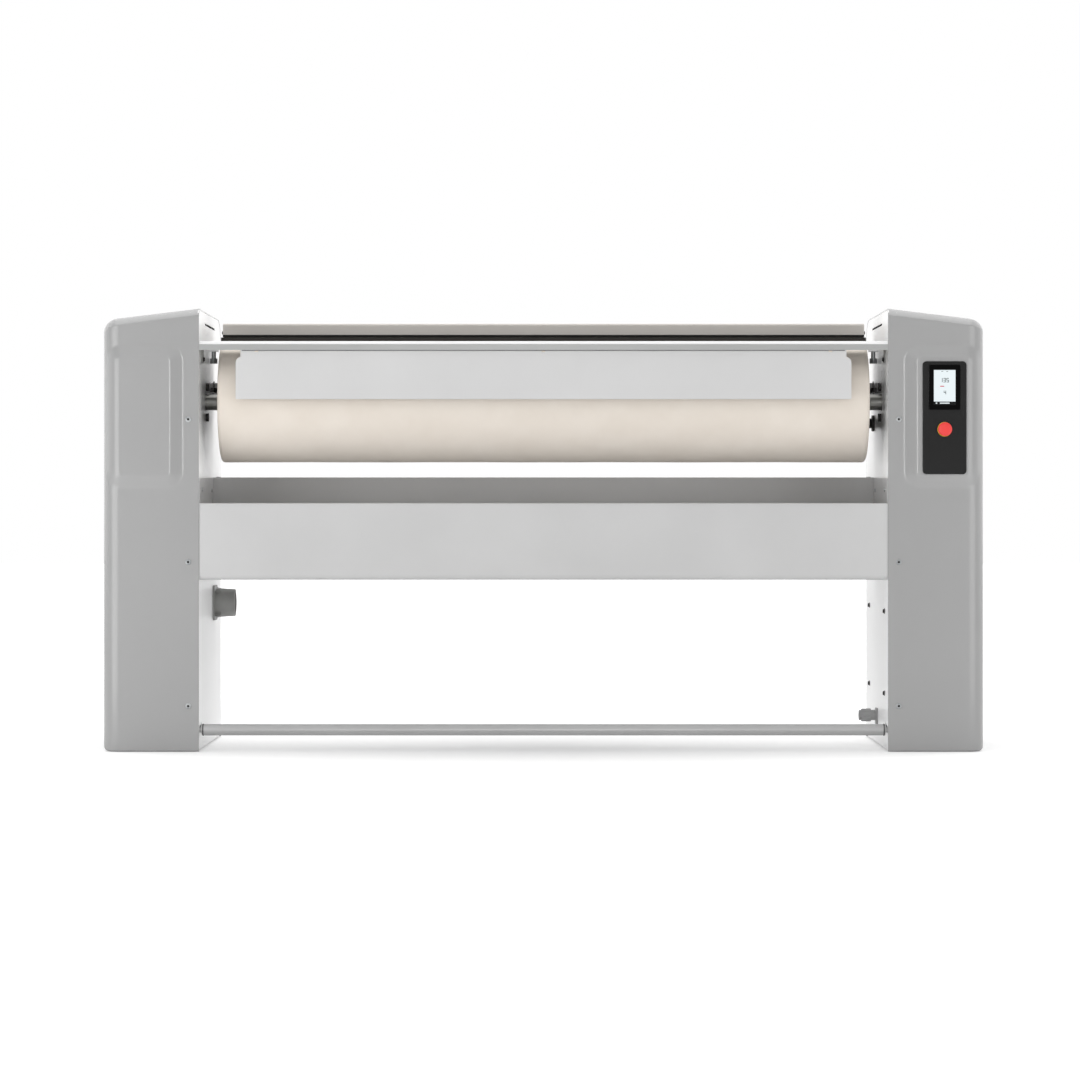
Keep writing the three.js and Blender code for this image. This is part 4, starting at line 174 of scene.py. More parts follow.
@dataclass(frozen=True)
class Finish:
    """Smooth finish of one colour, which drifts slightly to a darker shade; base of the others.

    Reliefs lie over each other. The gloss pattern lets the roughness run within its spread.
    """

    name: str
    slot: str
    colour: str
    shade: str
    roughness: float
    metallic: float = 0.0
    ior: float = 1.5
    clouds: Pattern = Pattern(220.0)
    stops: Pair = (0.3, 0.7)
    reliefs: tuple[Pattern, ...] = ()
    gloss: Pattern | None = None
    spread: Pair = (0.0, 0.0)
    sockets: tuple[tuple[str, Any], ...] = ()

    def material(self) -> bpy.types.Material:
        """Makes the material at the first call.

        Returns:
            The material, the same one at later calls.
        """
        known = bpy.data.materials.get(self.name)
        if known is not None:
            return known
        made = bpy.data.materials.new(self.name)
        made.diffuse_color = linear(self.colour)
        tree = empty_tree(made)
        place = add(tree, "ShaderNodeTexCoord")
        tone = add(tree, "ShaderNodeValToRGB", links={"Fac": self.clouds.laid(tree, place)})
        for band, stop, code in zip(tone.color_ramp.elements, self.stops,
                                    (self.shade, self.colour)):
            band.position = stop
            band.color = linear(code)
        links: dict[str | int, Source] = {"Base Color": (tone, "Color")}
        before: dict[str | int, Source] = {}
        for relief in self.reliefs:
            bump = add(tree, "ShaderNodeBump",
                       {"Distance": relief.depth_mm * MM, "Strength": relief.strength},
                       {"Height": relief.laid(tree, place), **before})
            before = {"Normal": (bump, "Normal")}
        if self.gloss is not None:
            low, high = (self.roughness + change for change in self.spread)
            uneven = add(tree, "ShaderNodeMapRange", {"To Min": low, "To Max": high},
                         {"Value": self.gloss.laid(tree, place)})
            links["Roughness"] = (uneven, "Result")
        settings = {"Base Color": linear(self.colour), "Roughness": self.roughness,
                    "Metallic": self.metallic, "IOR": self.ior, **dict(self.sockets)}
        shader = add(tree, "ShaderNodeBsdfPrincipled", settings, {**links, **before})
        add(tree, "ShaderNodeOutputMaterial", links={"Surface": (shader, "BSDF")})
        return made


@dataclass(frozen=True)
class PowderCoat(Finish):
    """Baked powder paint on sheet steel: the eye sees a faint orange peel in the gloss.

    The real peel is 1 to 2 mm, drawn at 3 mm so that it shows.
    """

    clouds: Pattern = Pattern(260.0)
    reliefs: tuple[Pattern, ...] = (Pattern(3.0, 2.0, 0.02, 0.12),)
    gloss: Pattern | None = Pattern(40.0)
    spread: Pair = (-0.04, 0.05)


@dataclass(frozen=True)
class SatinPlate(Finish):
    """Satin nickel plate on a steel tube: an even, half-metallic sheen."""

    clouds: Pattern = Pattern(260.0)
    gloss: Pattern | None = Pattern(40.0)
    spread: Pair = (-0.04, 0.05)


@dataclass(frozen=True)
class ThermoformedAbs(Finish):
    """Vacuum-formed ABS with an acrylic cap: a fine grain under a thin gloss, so that upright
    edges carry narrow bright lines and flats stay even.

    The real grain is about 0.8 mm, drawn at twice that.
    """

    clouds: Pattern = Pattern(320.0)
    reliefs: tuple[Pattern, ...] = (Pattern(1.6, 0.0, 0.03, 0.15, grain=Grain.PEBBLES),)
    gloss: Pattern | None = Pattern(25.0)
    spread: Pair = (-0.03, 0.05)
    sockets: tuple[tuple[str, Any], ...] = (("Coat Weight", 0.8), ("Coat Roughness", 0.15))


@dataclass(frozen=True)
class NeedledFelt(Finish):
    """Needled aramid felt: matt and fibrous, with a soft fuzz at grazing angles.

    Tufts are about 0.5 mm, drawn at 1.4 mm and longer along X so that they show. The faint
    rows that the needling leaves are 38 mm apart.
    """

    clouds: Pattern = Pattern(90.0, 4.0)
    stops: Pair = (0.25, 0.75)
    reliefs: tuple[Pattern, ...] = (Pattern(1.4, 5.0, 0.35, 0.5, (0.35, 1.0, 1.0)),
                                    Pattern(37.7, 2.0, 0.05, 0.3, grain=Grain.ROWS))
    sockets: tuple[tuple[str, Any], ...] = (("Sheen Weight", 0.35), ("Sheen Roughness", 0.6),
                                            ("Sheen Tint", linear("#fff6ea")))


@dataclass(frozen=True)
class TurnedSteel(Finish):
    """Steel turned on a lathe: fine rings round X that pull the highlight along the shaft.

    Feed marks are 0.2 mm apart, drawn at 0.8 mm (9.6 mm at 12 times the frequency along X).
    """

    clouds: Pattern = Pattern(30.0)
    reliefs: tuple[Pattern, ...] = (Pattern(9.6, 2.0, 0.02, 0.5, (12.0, 0.4, 0.4)),)
    gloss: Pattern | None = Pattern(9.6, 2.0, stretch=(12.0, 0.4, 0.4))
    spread: Pair = (-0.08, 0.1)


@dataclass(frozen=True)
class ZincPlate(Finish):
    """Bright zinc plate: cloudy silver, whose darker cells are a little glossier."""

    clouds: Pattern = Pattern(18.0, 4.0)
    gloss: Pattern | None = Pattern(18.0, 4.0)
    spread: Pair = (-0.1, 0.12)


@dataclass(frozen=True)
class CastMetal(Finish):
    """Blasted die-cast or scaled metal: an even fine grit that breaks up the highlight."""

    clouds: Pattern = Pattern(60.0)
    reliefs: tuple[Pattern, ...] = (Pattern(1.2, 4.0, 0.08, 0.5),)


@dataclass(frozen=True)
class MouldedPlastic(Finish):
    """Injection-moulded plastic or rubber: even colour with a very fine spark-eroded skin."""

    clouds: Pattern = Pattern(45.0)
    reliefs: tuple[Pattern, ...] = (Pattern(0.9, 2.0, 0.015, 0.4),)


@dataclass(frozen=True)
class LitGlass(Finish):
    """Backlit display: bright under a smooth cover glass, over a dark layer."""

    clouds: Pattern = Pattern(30.0)
    sockets: tuple[tuple[str, Any], ...] = (("Emission Color", linear("#eef8fb")),
                                            ("Emission Strength", 0.88))


COVER_ABS = ThermoformedAbs("Thermoformed_ABS_grey", "cover", "#a1a1a1", "#9e9e9e", 0.4)
WHITE_COAT = PowderCoat("Powder_coat_white", "white_sheet", "#fafafa", "#f7f7f7", 0.3, reliefs=())
TABLE_COAT = PowderCoat("Powder_coat_table", "grey_sheet", "#abacab", "#a7a8a7", 0.3)
NOSE_HIGHLIGHT_COAT = PowderCoat("Powder_coat_painted_highlight", "grey_sheet", "#e8e8e8", "#e3e3e3", 0.22,
                       reliefs=())  # painted highlight: the bend is coloured pale for the light from above on it; it is also smoother
GUARD_COAT = PowderCoat("Powder_coat_guard", "guard", "#d3d3d3", "#cecece", 0.4)
TRAY_COAT = PowderCoat("Powder_coat_tray", "tray", "#cacaca", "#c4c4c4", 0.4)
HOOD_COAT = PowderCoat("Powder_coat_hood", "hood", "#d8d3cd", "#d4cfc9", 0.42)
PEDAL_PLATE = SatinPlate("Satin_nickel_plate", "pedal", "#bcbcbc", "#b5b5b5", 0.38, 0.45)
FELT = NeedledFelt("Needled_felt_cream", "padding", "#eae2d8", "#e3dacf", 0.92, ior=1.45)
SHAFT_STEEL = TurnedSteel("Turned_steel", "steel", "#8d8d8a", "#7c7c78", 0.32, 1.0)
ZINC = ZincPlate("Zinc_plated_steel", "zinc", "#c0c2c3", "#a3a6a8", 0.34, 1.0)
DARK_STEEL = CastMetal("Phosphated_steel", "dark_steel", "#3c3b3a", "#302f2e", 0.5, 0.55)
SHOE_STEEL = CastMetal("Blackened_shoe_steel", "shoe", "#26231f", "#1e1b18", 0.45, 0.35)
ALUMINIUM = CastMetal("Blasted_aluminium", "aluminium", "#a3a3a0", "#8f8f8c", 0.45, 0.9)
SPIGOT_PLASTIC = MouldedPlastic("Moulded_polypropylene", "spigot", "#8c8c8a", "#838381", 0.5,
                                ior=1.49)
GLAND_PLASTIC = MouldedPlastic("Moulded_polyamide", "gland", "#a2a2a2", "#989898", 0.5, ior=1.53)
RUBBER = MouldedPlastic("Moulded_rubber", "rubber", "#4a4a4a", "#434343", 0.85, ior=1.52)
HOSE_PVC = MouldedPlastic("Extruded_PVC_hose", "hose", "#3a3a3a", "#2e2e2e", 0.5, ior=1.53)
# painted shade: near-black strip that stands for the dark gap under the hood's front edge
GAP_SHADE_BLACK = MouldedPlastic("Painted_gap_shade_black", "rubber", "#151311", "#110f0e", 0.6,
                            ior=1.43)
PANEL_FILM = MouldedPlastic("Polycarbonate_film", "plate", "#191919", "#171717", 0.22, ior=1.45)
BEZEL_BLACK = MouldedPlastic("Gloss_black_acrylic", "bezel", "#020202", "#020202", 0.1, ior=1.3)
BUTTON_RED = MouldedPlastic("Moulded_nylon_red", "red", "#ee3a36", "#e23330", 0.35, ior=1.53)
RING_YELLOW = MouldedPlastic("Moulded_nylon_yellow", "yellow", "#e3bd1d", "#d5b01a", 0.42,
                             ior=1.53)
SCREEN_LIT = LitGlass("Backlit_display_white", "screen", "#545657", "#505253", 0.15, ior=1.52)
SCREEN_DARK = Finish("Display_dark_bar", "screen", "#0c0f10", "#0a0c0d", 0.15, ior=1.52)
SCREEN_GREY = Finish("Display_grey_digits", "screen", "#5a6467", "#566063", 0.2, ior=1.52)
SCREEN_RED = Finish("Display_red_mark", "screen", "#d8475c", "#cf4054", 0.2, ior=1.52)


# ---------------------------------------------------------------- meshes
def modify(thing: bpy.types.Object, name: str, kind: str, **settings: Any) -> None:
    """Adds a modifier with its settings.

    Args:
        thing: Mesh object.
        name: Name of the modifier.
        kind: Its type.
        settings: Its properties, by name.
    """
    added = thing.modifiers.new(name, kind)
    for key, value in settings.items():
        setattr(added, key, value)


def even_normals(thing: bpy.types.Object, keep_sharp: bool = False) -> None:
    """Lets the normals lean to the large faces, so that flats shade evenly."""
    modify(thing, "Even_normals", "WEIGHTED_NORMAL", mode="FACE_AREA_WITH_ANGLE",
           weight=LARGE_FACES, keep_sharp=keep_sharp)


def piece(name: str, skin: Skin, finish: Finish, body: str = "frame",
          angle: float = SMOOTH_DEG) -> bpy.types.Object:
    """Makes a mesh piece from points in millimetres and lets it ride on a body.

    Args:
        name: Name of the piece.
        skin: Points in millimetres, in the frame, and the corners of each face.
        finish: Its finish.
        body: Body that carries it.
        angle: Steepest angle in degrees that still shades smooth.

    Returns:
        The new object.
    """
    points, faces = skin
    mesh = bpy.data.meshes.new(name)
    mesh.from_pydata([tuple(c * MM for c in p) for p in points], [], faces)
    mesh.validate()
    mesh.update()
    mesh.materials.append(finish.material())
    thing = bpy.data.objects.new(name, mesh)
    bpy.context.scene.collection.objects.link(thing)
    mesh.polygons.foreach_set("use_smooth", [True] * len(mesh.polygons))
    mesh.set_sharp_from_angle(angle=math.radians(angle))
    even_normals(thing, keep_sharp=True)
    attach(thing, body)
    LOG.info("piece %s on %s, %d faces, %s", name, body, len(mesh.polygons), finish.name)
    return thing


def dress(names: Iterable[str], finish: Finish, edge_mm: float = 0.0) -> None:
    """Gives modelled nodes their finish, even shading and small broken edges.

    Args:
        names: Node names.
        finish: The finish they take.
        edge_mm: Width of the broken edge, or 0 for none.
    """
    for name in names:
        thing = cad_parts[name]
        thing.data.materials.clear()
        thing.data.materials.append(finish.material())
        thing.data.polygons.foreach_set("use_smooth", [True] * len(thing.data.polygons))
        modify(thing, "Joined_corners", "WELD", merge_threshold=WELD_MM * MM)
        if edge_mm > 0:
            modify(thing, "Broken_edges", "BEVEL", width=edge_mm * MM, segments=2,
                   limit_method="ANGLE", angle_limit=math.radians(BROKEN_DEG), use_clamp_overlap=True)
        modify(thing, "Crisp_edges", "EDGE_SPLIT", split_angle=math.radians(SMOOTH_DEG))
        even_normals(thing)
        LOG.info("node %s, %s", name, finish.name)


def loft(rings: Sequence[Sequence[Point]], closed: bool = True,
         caps: tuple[bool, bool] = (True, True)) -> Skin:
    """Joins rings of equal count into a skin.

    Args:
        rings: Rings of points.
        closed: Whether each ring closes on itself.
        caps: Whether the first and the last ring are filled.

    Returns:
        Points and faces.
    """
    count = len(rings[0])
    points = [tuple(p) for ring in rings for p in ring]
    faces: Faces = []
    for r in range(len(rings) - 1):
        for i in range(count if closed else count - 1):
            j = (i + 1) % count
            faces.append((r * count + i, r * count + j, (r + 1) * count + j, (r + 1) * count + i))
    if caps[0]:
        faces.append(tuple(reversed(range(count))))
    if caps[1]:
        faces.append(tuple(range((len(rings) - 1) * count, len(rings) * count)))
    return points, faces


def drawn_out(outline: Sequence[Pair], x0: float, x1: float) -> Skin:
    """Block with an outline in Y and Z, drawn out between two places along X."""
    return loft([[(x, y, z) for y, z in outline] for x in (x0, x1)])


def merged(skins: Iterable[Skin]) -> Skin:
    """Puts several skins into one.

    Args:
        skins: Skins, each with its own count of points.

    Returns:
        One skin.
    """
    points: list[Point] = []
    faces: Faces = []
    for more, cells in skins:
        start = len(points)
        points.extend(more)
        faces.extend(tuple(start + i for i in cell) for cell in cells)
    return points, faces


def aimed(skin: Skin, at: Point, facing: Point) -> Skin:
    """Turns a skin drawn along local Z to face a direction, and moves it to a place."""
    turn = Vector(facing).to_track_quat("Z", "Y").to_matrix()
    return [tuple(turn @ Vector(p) + Vector(at)) for p in skin[0]], skin[1]


def circle(radius: float, height: float, count: int = 24) -> list[Point]:
    """Ring of points round local Z at a height."""
    return [(radius * math.cos(math.tau * i / count), radius * math.sin(math.tau * i / count),
             height) for i in range(count)]


def turned(profile: Iterable[Pair], count: int,
           caps: tuple[bool, bool] = (True, True)) -> Skin:
    """Body turned round local Z from a profile of radius and height."""
    return loft([circle(radius, height, count) for radius, height in profile], caps=caps)


def hexagon(apothem: float, height: float, count: int = 24) -> list[Point]:
    """Lays points on a hexagon round local Z, evenly spaced by angle.

    Args:
        apothem: Distance from the middle to a flat.
        height: Height along Z.
        count: Number of points.

    Returns:
        The ring.
    """
    ring = []
    for i in range(count):
        angle = math.tau * i / count
        fold = (angle + math.pi / 6) % (math.pi / 3) - math.pi / 6
        radius = apothem / math.cos(fold)
        ring.append((radius * math.cos(angle), radius * math.sin(angle), height))
    return ring


@dataclass(frozen=True)
class Screw:
    """Head of a screw, seated on a face."""

    radius: float
    height: float
    drive: Drive = Drive.HEX_SOCKET
    socket: float = 2.0
    washer: float = 0.0
    seat: float = 0.05  # how far the head stands clear of the sheet
    washer_rim: Point = (0.9, 1.2, 0.4)  # heights of the washer's edge and top, its chamfer
    flats: float = 0.87  # apothem of a hexagonal head, as a share of its radius
    crown: Pair = (0.78, 0.8)  # shares of radius and height where its top is cut round
    skirt: Pair = (0.72, 0.35)  # shares of radius and height where a round head's dome starts
    dome_steps: int = 4
    mouth: Pair = (1.12, 0.3)  # the recess's mouth: share of its width, and its chamfer
    depth: float = 0.7  # of the recess, as a share of the head's height

    def head(self, at: Point, facing: Point) -> Skin:
        """Builds the head with its washer and recess.

        Args:
            at: Middle of the seat.
            facing: Direction in which the head stands out.

        Returns:
            Points and faces.
        """
        lift = self.seat
        rings: list[list[Point]] = []
        if self.washer > 0:
            edge, top, chamfer = self.washer_rim
            rings += [circle(self.washer, lift), circle(self.washer, edge),
                      circle(self.washer - chamfer, top)]
            lift = top
        top = lift + self.height
        if self.drive is Drive.HEX_HEAD:
            across = self.radius * self.flats
            rings += [hexagon(across, lift), hexagon(across, lift + self.height * self.crown[1]),
                      circle(self.radius * self.crown[0], top)]
        else:
            wide, low = self.skirt
            rings.append(circle(self.radius, lift))
            for step in range(self.dome_steps + 1):
                angle = math.pi / 2 * step / self.dome_steps
                rings.append(circle(self.radius * (wide + (1 - wide) * math.cos(angle)),
                                    lift + self.height * (low + (1 - low) * math.sin(angle))))
            rings += [hexagon(self.socket * self.mouth[0], top),
                      hexagon(self.socket, top - self.mouth[1]),
                      hexagon(self.socket, top - self.height * self.depth)]
        return aimed(loft(rings), at, facing)

    def recessed(self, reach: float) -> bool:
        """Whether a face at a distance from the seat's middle lies in the socket."""
        return self.height * (1 - self.depth) < reach < self.height + self.washer / 4


HEX_BOLT = Screw(5.0, 3.4, Drive.HEX_HEAD, washer=6.5)


def screws(name: str, kind: Screw, places: Sequence[Point], facing: Point, finish: Finish,
           body: str = "frame") -> None:
    """Makes one piece of several like screws, with painted shade in their sockets: the recess faces
    take dark steel.

    Args:
        name: Name of the piece.
        kind: The screw.
        places: Middle of each seat.
        facing: Direction in which the heads stand out.
        finish: Their finish.
        body: Body that carries them.
    """
    thing = piece(name, merged(kind.head(at, facing) for at in places), finish, body,
                  angle=35.0)
    # painted shade: the recess faces take dark steel so that the sockets read dark
    if kind.drive is Drive.HEX_SOCKET:
        thing.data.materials.append(DARK_STEEL.material())
        for face in thing.data.polygons:
            reach = min(((face.center / MM) - Vector(at)).length for at in places)
            face.material_index = int(kind.recessed(reach))


# ---------------------------------------------------------------- sub-assemblies
class Wall(Enum):
    """Walls and corners of a cover's plan, from its inner front edge to its inner rear edge."""

    FRONT = auto()
    FRONT_CORNER = auto()
    SIDE = auto()
    REAR_CORNER = auto()
    REAR = auto()


class Zone(Enum):
    """Zones of a cover's wall, from the floor up."""

    LIP = auto()
    TOE = auto()
    LEVEL = auto()
    SLOPE = auto()
    CROWN = auto()


@dataclass
class MouldedCover:
    """Thermoformed cover of one cabinet, one continuous skin with its raised front pad.

    Sizes in threes are for the front, the outer side and the rear. Columns and rows are laid
    close where the form turns.
    """

    side: Side
    inner: float = 840.0
    width: float = 236.0
    front: float = -290.0
    rear: float = 316.0
    top: float = 1082.0
    fall: float = 29.0
    foot: float = 1.0
    wall: float = 3.2
    edge: float = 40.0  # radius of the upright corners
    least_edge: float = 4.0
    brows: Point = (17.0, 28.0, 80.0)  # heights of the top edge
    powers: Point = (1.75, 1.0, 1.0)  # 1 rounds the top edge, 2 cuts it straight
    toes: Point = (4.0, 12.0, 4.0)  # radii of the bottom edge
    lips: Point = (5.0, 16.0, 5.0)  # how far the skin turns in under it
    pad: tuple[float, float, float, float] = (881.0, 1066.0, 644.0, 992.0)
    pad_rise: float = 9.7
    pad_band: float = 28.0
    pad_radius: float = 40.0
    pad_ease: float = 0.13  # share of the band over which the slope starts and ends
    window: tuple[float, float, float, float] = (874.3, 1024.0, 80.0, 878.0)
    window_margin: float = 40.0
    front_steps: int = 48
    corner_steps: int = 12
    side_steps: int = 10
    toe_steps: int = 5
    slope_steps: int = 30
    crown_steps: int = 9
    low_rows: tuple[float, ...] = (22.0, 80.0, 240.0, 400.0, 540.0, 610.0)
    fold_rows: tuple[float, float, int] = (636.0, 3.5, 15)  # start, step and count
    pad_rows: tuple[float, float, int] = (694.0, 21.0, 9)
    high_rows: tuple[float, ...] = (878.0, 920.0, 944.0)
    slope_from: float = 950.0  # above this the rows lean with the top
    trim_foot: float = 60.0
    trim_section: tuple[Pair, ...] = ((0.1, 0.3), (0.1, 3.0), (6.0, 3.0), (6.0, 0.3))

    def lift(self, x: float) -> float:
        """Height of the sloping top above the floor at a distance from the middle."""
        return self.top - self.fall * (x - self.inner) / self.width

    def columns(self) -> list[tuple[Wall, float]]:
        """Lays out the stations round the plan.

        Returns:
            A wall and how far along it, or a corner and its angle in degrees.
        """
        flat = (self.width - self.edge) / self.front_steps
        depth = (self.rear - self.front - 2 * self.edge) / self.side_steps
        quarter = [90.0 * i / self.corner_steps for i in range(self.corner_steps + 1)]
        x0, x1 = self.window[:2]
        stops = (x1, x1 - self.window_margin, (x0 + x1) / 2, x0 + self.window_margin, x0,
                 (x0 + self.inner) / 2, self.inner)
        return [*((Wall.FRONT, self.inner + flat * i) for i in range(self.front_steps)),
                *((Wall.FRONT_CORNER, angle) for angle in quarter),
                *((Wall.SIDE, self.front + self.edge + depth * i)
                  for i in range(1, self.side_steps)),
                *((Wall.REAR_CORNER, angle) for angle in quarter),
                *((Wall.REAR, x) for x in stops)]

    def rows(self) -> list[tuple[Zone, float]]:
        """Lays out the stations up the wall.

        Returns:
            A zone and its angle in degrees, its height, or the share of the way up it.
        """
        levels = list(self.low_rows)
        for start, step, count in (self.fold_rows, self.pad_rows):
            levels += [start + step * i for i in range(count)]
        return [(Zone.LIP, 0.0),
                *((Zone.TOE, -90.0 + 90.0 * i / self.toe_steps) for i in range(self.toe_steps)),
                *((Zone.LEVEL, level) for level in (*levels, *self.high_rows)),
                *((Zone.SLOPE, i / self.slope_steps) for i in range(self.slope_steps + 1)),
                *((Zone.CROWN, 90.0 * i / self.crown_steps)
                  for i in range(1, self.crown_steps + 1))]

    def station(self, column: tuple[Wall, float], insets: Point = (0.0, 0.0, 0.0)) -> Point:
        """Finds the place of a column when the walls are drawn in.

        Args:
            column: A station from columns().
            insets: How far the front, side and rear walls are drawn in.

        Returns:
            X, Y, and the share of the way from one wall's rule to the next, 0 to 2.
        """
        wall, value = column
        ahead, outer, behind = insets
        x1 = self.inner + self.width - outer
        y0, y1 = self.front + ahead, self.rear - behind
        near = max(self.least_edge, self.edge - max(ahead, outer))
        far = max(self.least_edge, self.edge - max(outer, behind))
        share = (value - self.inner) / (self.width - self.edge)
        sin, cos = math.sin(math.radians(value)), math.cos(math.radians(value))
        if wall is Wall.FRONT:
            return self.inner + share * (x1 - near - self.inner), y0, 0.0
        if wall is Wall.FRONT_CORNER:
            return x1 - near + near * sin, y0 + near - near * cos, value / 90
        if wall is Wall.SIDE:
            share = (value - self.front - self.edge) / (self.rear - self.front - 2 * self.edge)
            return x1, y0 + near + share * (y1 - far - y0 - near), 1.0
        if wall is Wall.REAR_CORNER:
            return x1 - far + far * cos, y1 - far + far * sin, 1 + value / 90
        return self.inner + share * (x1 - far - self.inner), y1, 2.0

    def blend(self, share: float, values: Point) -> float:
        """Eases a size round the corners.

        Args:
            share: 0 at the front, 1 at the side, 2 at the rear.
            values: The size at these three.

        Returns:
            The size at the share.
        """
        low = min(int(share), 1)
        part = share - low
        part = part * part * (3 - 2 * part)
        return values[low] + (values[low + 1] - values[low]) * part

    def swell(self, x: float, z: float) -> float:
        """Says how far the raised pad stands out at a place on the front.

        Args:
            x: Distance from the machine's middle.
            z: Height.

        Returns:
            The rise, from 0 outside the pad to its full rise on it.
        """
        x0, x1, z0, z1 = self.pad
        dx = abs(x - (x0 + x1) / 2) - (x1 - x0) / 2 + self.pad_radius
        dz = abs(z - (z0 + z1) / 2) - (z1 - z0) / 2 + self.pad_radius
        out = math.hypot(max(dx, 0.0), max(dz, 0.0)) + min(max(dx, dz), 0.0) - self.pad_radius
        u, ease = -out / self.pad_band, self.pad_ease
        if u <= -ease:
            return 0.0
        if u < ease:
            return self.pad_rise * (u + ease) ** 2 / (4 * ease)
        if u < 1 - ease:
            return self.pad_rise * u
        if u < 1 + ease:
            return self.pad_rise * (1 - (1 + ease - u) ** 2 / (4 * ease))
        return self.pad_rise

    def point(self, column: tuple[Wall, float], zone: Zone, value: float) -> Point:
        """Places one point of the right-hand skin.

        Args:
            column: A station from columns().
            zone: Zone of the row.
            value: The row's angle, height or share.

        Returns:
            The point.
        """
        sin, cos = math.sin(math.radians(value)), math.cos(math.radians(value))
        if zone is Zone.LIP:
            x, y, share = self.station(column, self.lips)
            return x, y, self.foot
        if zone is Zone.TOE:
            x, y, share = self.station(column, tuple(toe * (1 - cos) for toe in self.toes))
            z = self.foot + self.blend(share, self.toes) * (1 + sin)
        elif zone is Zone.CROWN:
            drawn = [brow * (1 - max(cos, 0.0) ** power)
                     for brow, power in zip(self.brows, self.powers)]
            x, y, share = self.station(column, tuple(drawn))
            bend = 1 - sin ** self.blend(share, self.powers)
            z = self.lift(x) - self.blend(share, self.brows) * bend
        else:
            x, y, share = self.station(column)
            z = value
            if zone is Zone.SLOPE:
                edge = self.lift(x) - self.blend(share, self.brows)
                z = self.slope_from + (edge - self.slope_from) * value
        if column[0] in (Wall.FRONT, Wall.FRONT_CORNER) and share < 1:
            out, turn = self.swell(x, z), math.radians(90.0 * share)
            x = min(x + out * math.sin(turn), self.inner + self.width)
            y -= out * math.cos(turn)
        return x, y, z

    def in_window(self, corners: list[Point]) -> bool:
        """Tells whether a face lies in the opening behind the vented rear panel.

        Args:
            corners: The face's corners.

        Returns:
            Whether its middle is in the opening.
        """
        x, y, z = (sum(values) / len(corners) for values in zip(*corners))
        x0, x1, z0, z1 = self.window
        return len(corners) == 4 and y > self.rear - 1 and x0 < abs(x) < x1 and z0 < z < z1

    def build(self) -> None:
        """Builds the skin and its trim, and lets the skin stand for the modelled cover."""
        columns, sign = self.columns(), self.side.value
        rings = []
        for zone, value in self.rows():
            ring = [self.point(column, zone, value) for column in columns]
            rings.append([(sign * x, y, z) for x, y, z in ring])
        points, faces = loft(rings, closed=False, caps=(False, True))
        faces = [face if self.side is Side.RIGHT else tuple(reversed(face)) for face in faces
                 if not self.in_window([points[i] for i in face])]
        cover = piece(f"{self.side.word}_moulded_cover", (points, faces), COVER_ABS, angle=32.0)
        self.sharpen_rim(cover)
        modify(cover, "Sheet", "SOLIDIFY", thickness=self.wall * MM, offset=-1.0)
        cover.modifiers.move(1, 0)
        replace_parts(cover, f"{self.side.word}_cover")
        self.trim()

    def trim(self) -> None:
        """Builds the edge trim that closes the joint between the cover and the side frame."""
        line = [(self.front, self.trim_foot, 1.0, 0.0)]
        steps = self.corner_steps
        for radius, middle, start in ((self.brows[0], self.front + self.brows[0], 180.0),
                                      (self.brows[2], self.rear - self.brows[2], 90.0)):
            for step in range(steps + 1):
                a = math.radians(start - 90.0 * step / steps)
                line.append((middle + radius * math.cos(a),
                             self.top - radius + radius * math.sin(a), -math.cos(a), -math.sin(a)))
        line.append((self.rear, self.trim_foot, -1.0, 0.0))
        rings = []
        for depth, off in (*self.trim_section, self.trim_section[0]):
            x, under = self.side.value * (self.inner + off), self.wall + depth
            rings.append([(x, y + ny * under, z + nz * under) for y, z, ny, nz in line])
        piece(f"{self.side.word}_edge_trim", loft(rings, closed=False, caps=OPEN), WHITE_COAT)

    def sharpen_rim(self, cover: bpy.types.Object) -> None:
        """Keeps the cut edges of the sheet crisp, so that each face shades by itself.

        Args:
            cover: The cover, before its sheet has a thickness.
        """
        uses: dict[tuple[int, int], int] = {}
        for face in cover.data.polygons:
            for key in face.edge_keys:
                uses[key] = uses.get(key, 0) + 1
        for edge in cover.data.edges:
            if uses.get(edge.key, 0) < 2:
                edge.use_edge_sharp = True


@dataclass
class Cabinet:
    """One cabinet: cover, side frame, rear panel, base and feet."""

    side: Side
    face: float = -290.0
    rear: float = 312.3
    panel: float = 840.0
    cover_screw: Screw = Screw(6.3, 2.8, socket=2.9, washer=7.2)
    cover_screw_x: float = 866.0
    cover_screw_z: tuple[float, ...] = (811.0, 463.0, 112.0)
    rear_screw: Screw = Screw(4.5, 2.0, socket=1.7)
    rear_screw_x: Pair = (886.0, 1012.0)
    rear_screw_z: Pair = (92.0, 866.0)
    box_screws: tuple[Pair, ...] = ((212.0, 345.0), (212.0, 144.0), (-199.0, 341.0),
                                    (-199.0, 139.0))

    def build(self) -> None:
        """Builds the cover and the screws, and dresses the modelled nodes."""
        sign, word = self.side.value, self.side.word
        MouldedCover(self.side).build()
        screws(f"{word}_cover_screws", self.cover_screw,
               [(sign * self.cover_screw_x, self.face, z) for z in self.cover_screw_z],
               (0, -1, 0), ZINC)
        screws(f"{word}_rear_panel_screws", self.rear_screw,
               [(sign * x, self.rear, z) for x in self.rear_screw_x for z in self.rear_screw_z],
               (0, 1, 0), ZINC)
        if self.side is Side.RIGHT:
            screws("right_frame_screws", HEX_BOLT,
                   [(self.panel, y, z) for y, z in self.box_screws], (-1, 0, 0), DARK_STEEL)
        dress([f"{word}_side_frame"], WHITE_COAT, edge_mm=0.6)
        dress([f"{word}_rear_panel"], TABLE_COAT)
        dress([f"{word}_base_plate"], ZINC)
        dress([f"front_{word}_foot", f"rear_{word}_foot"], RUBBER)


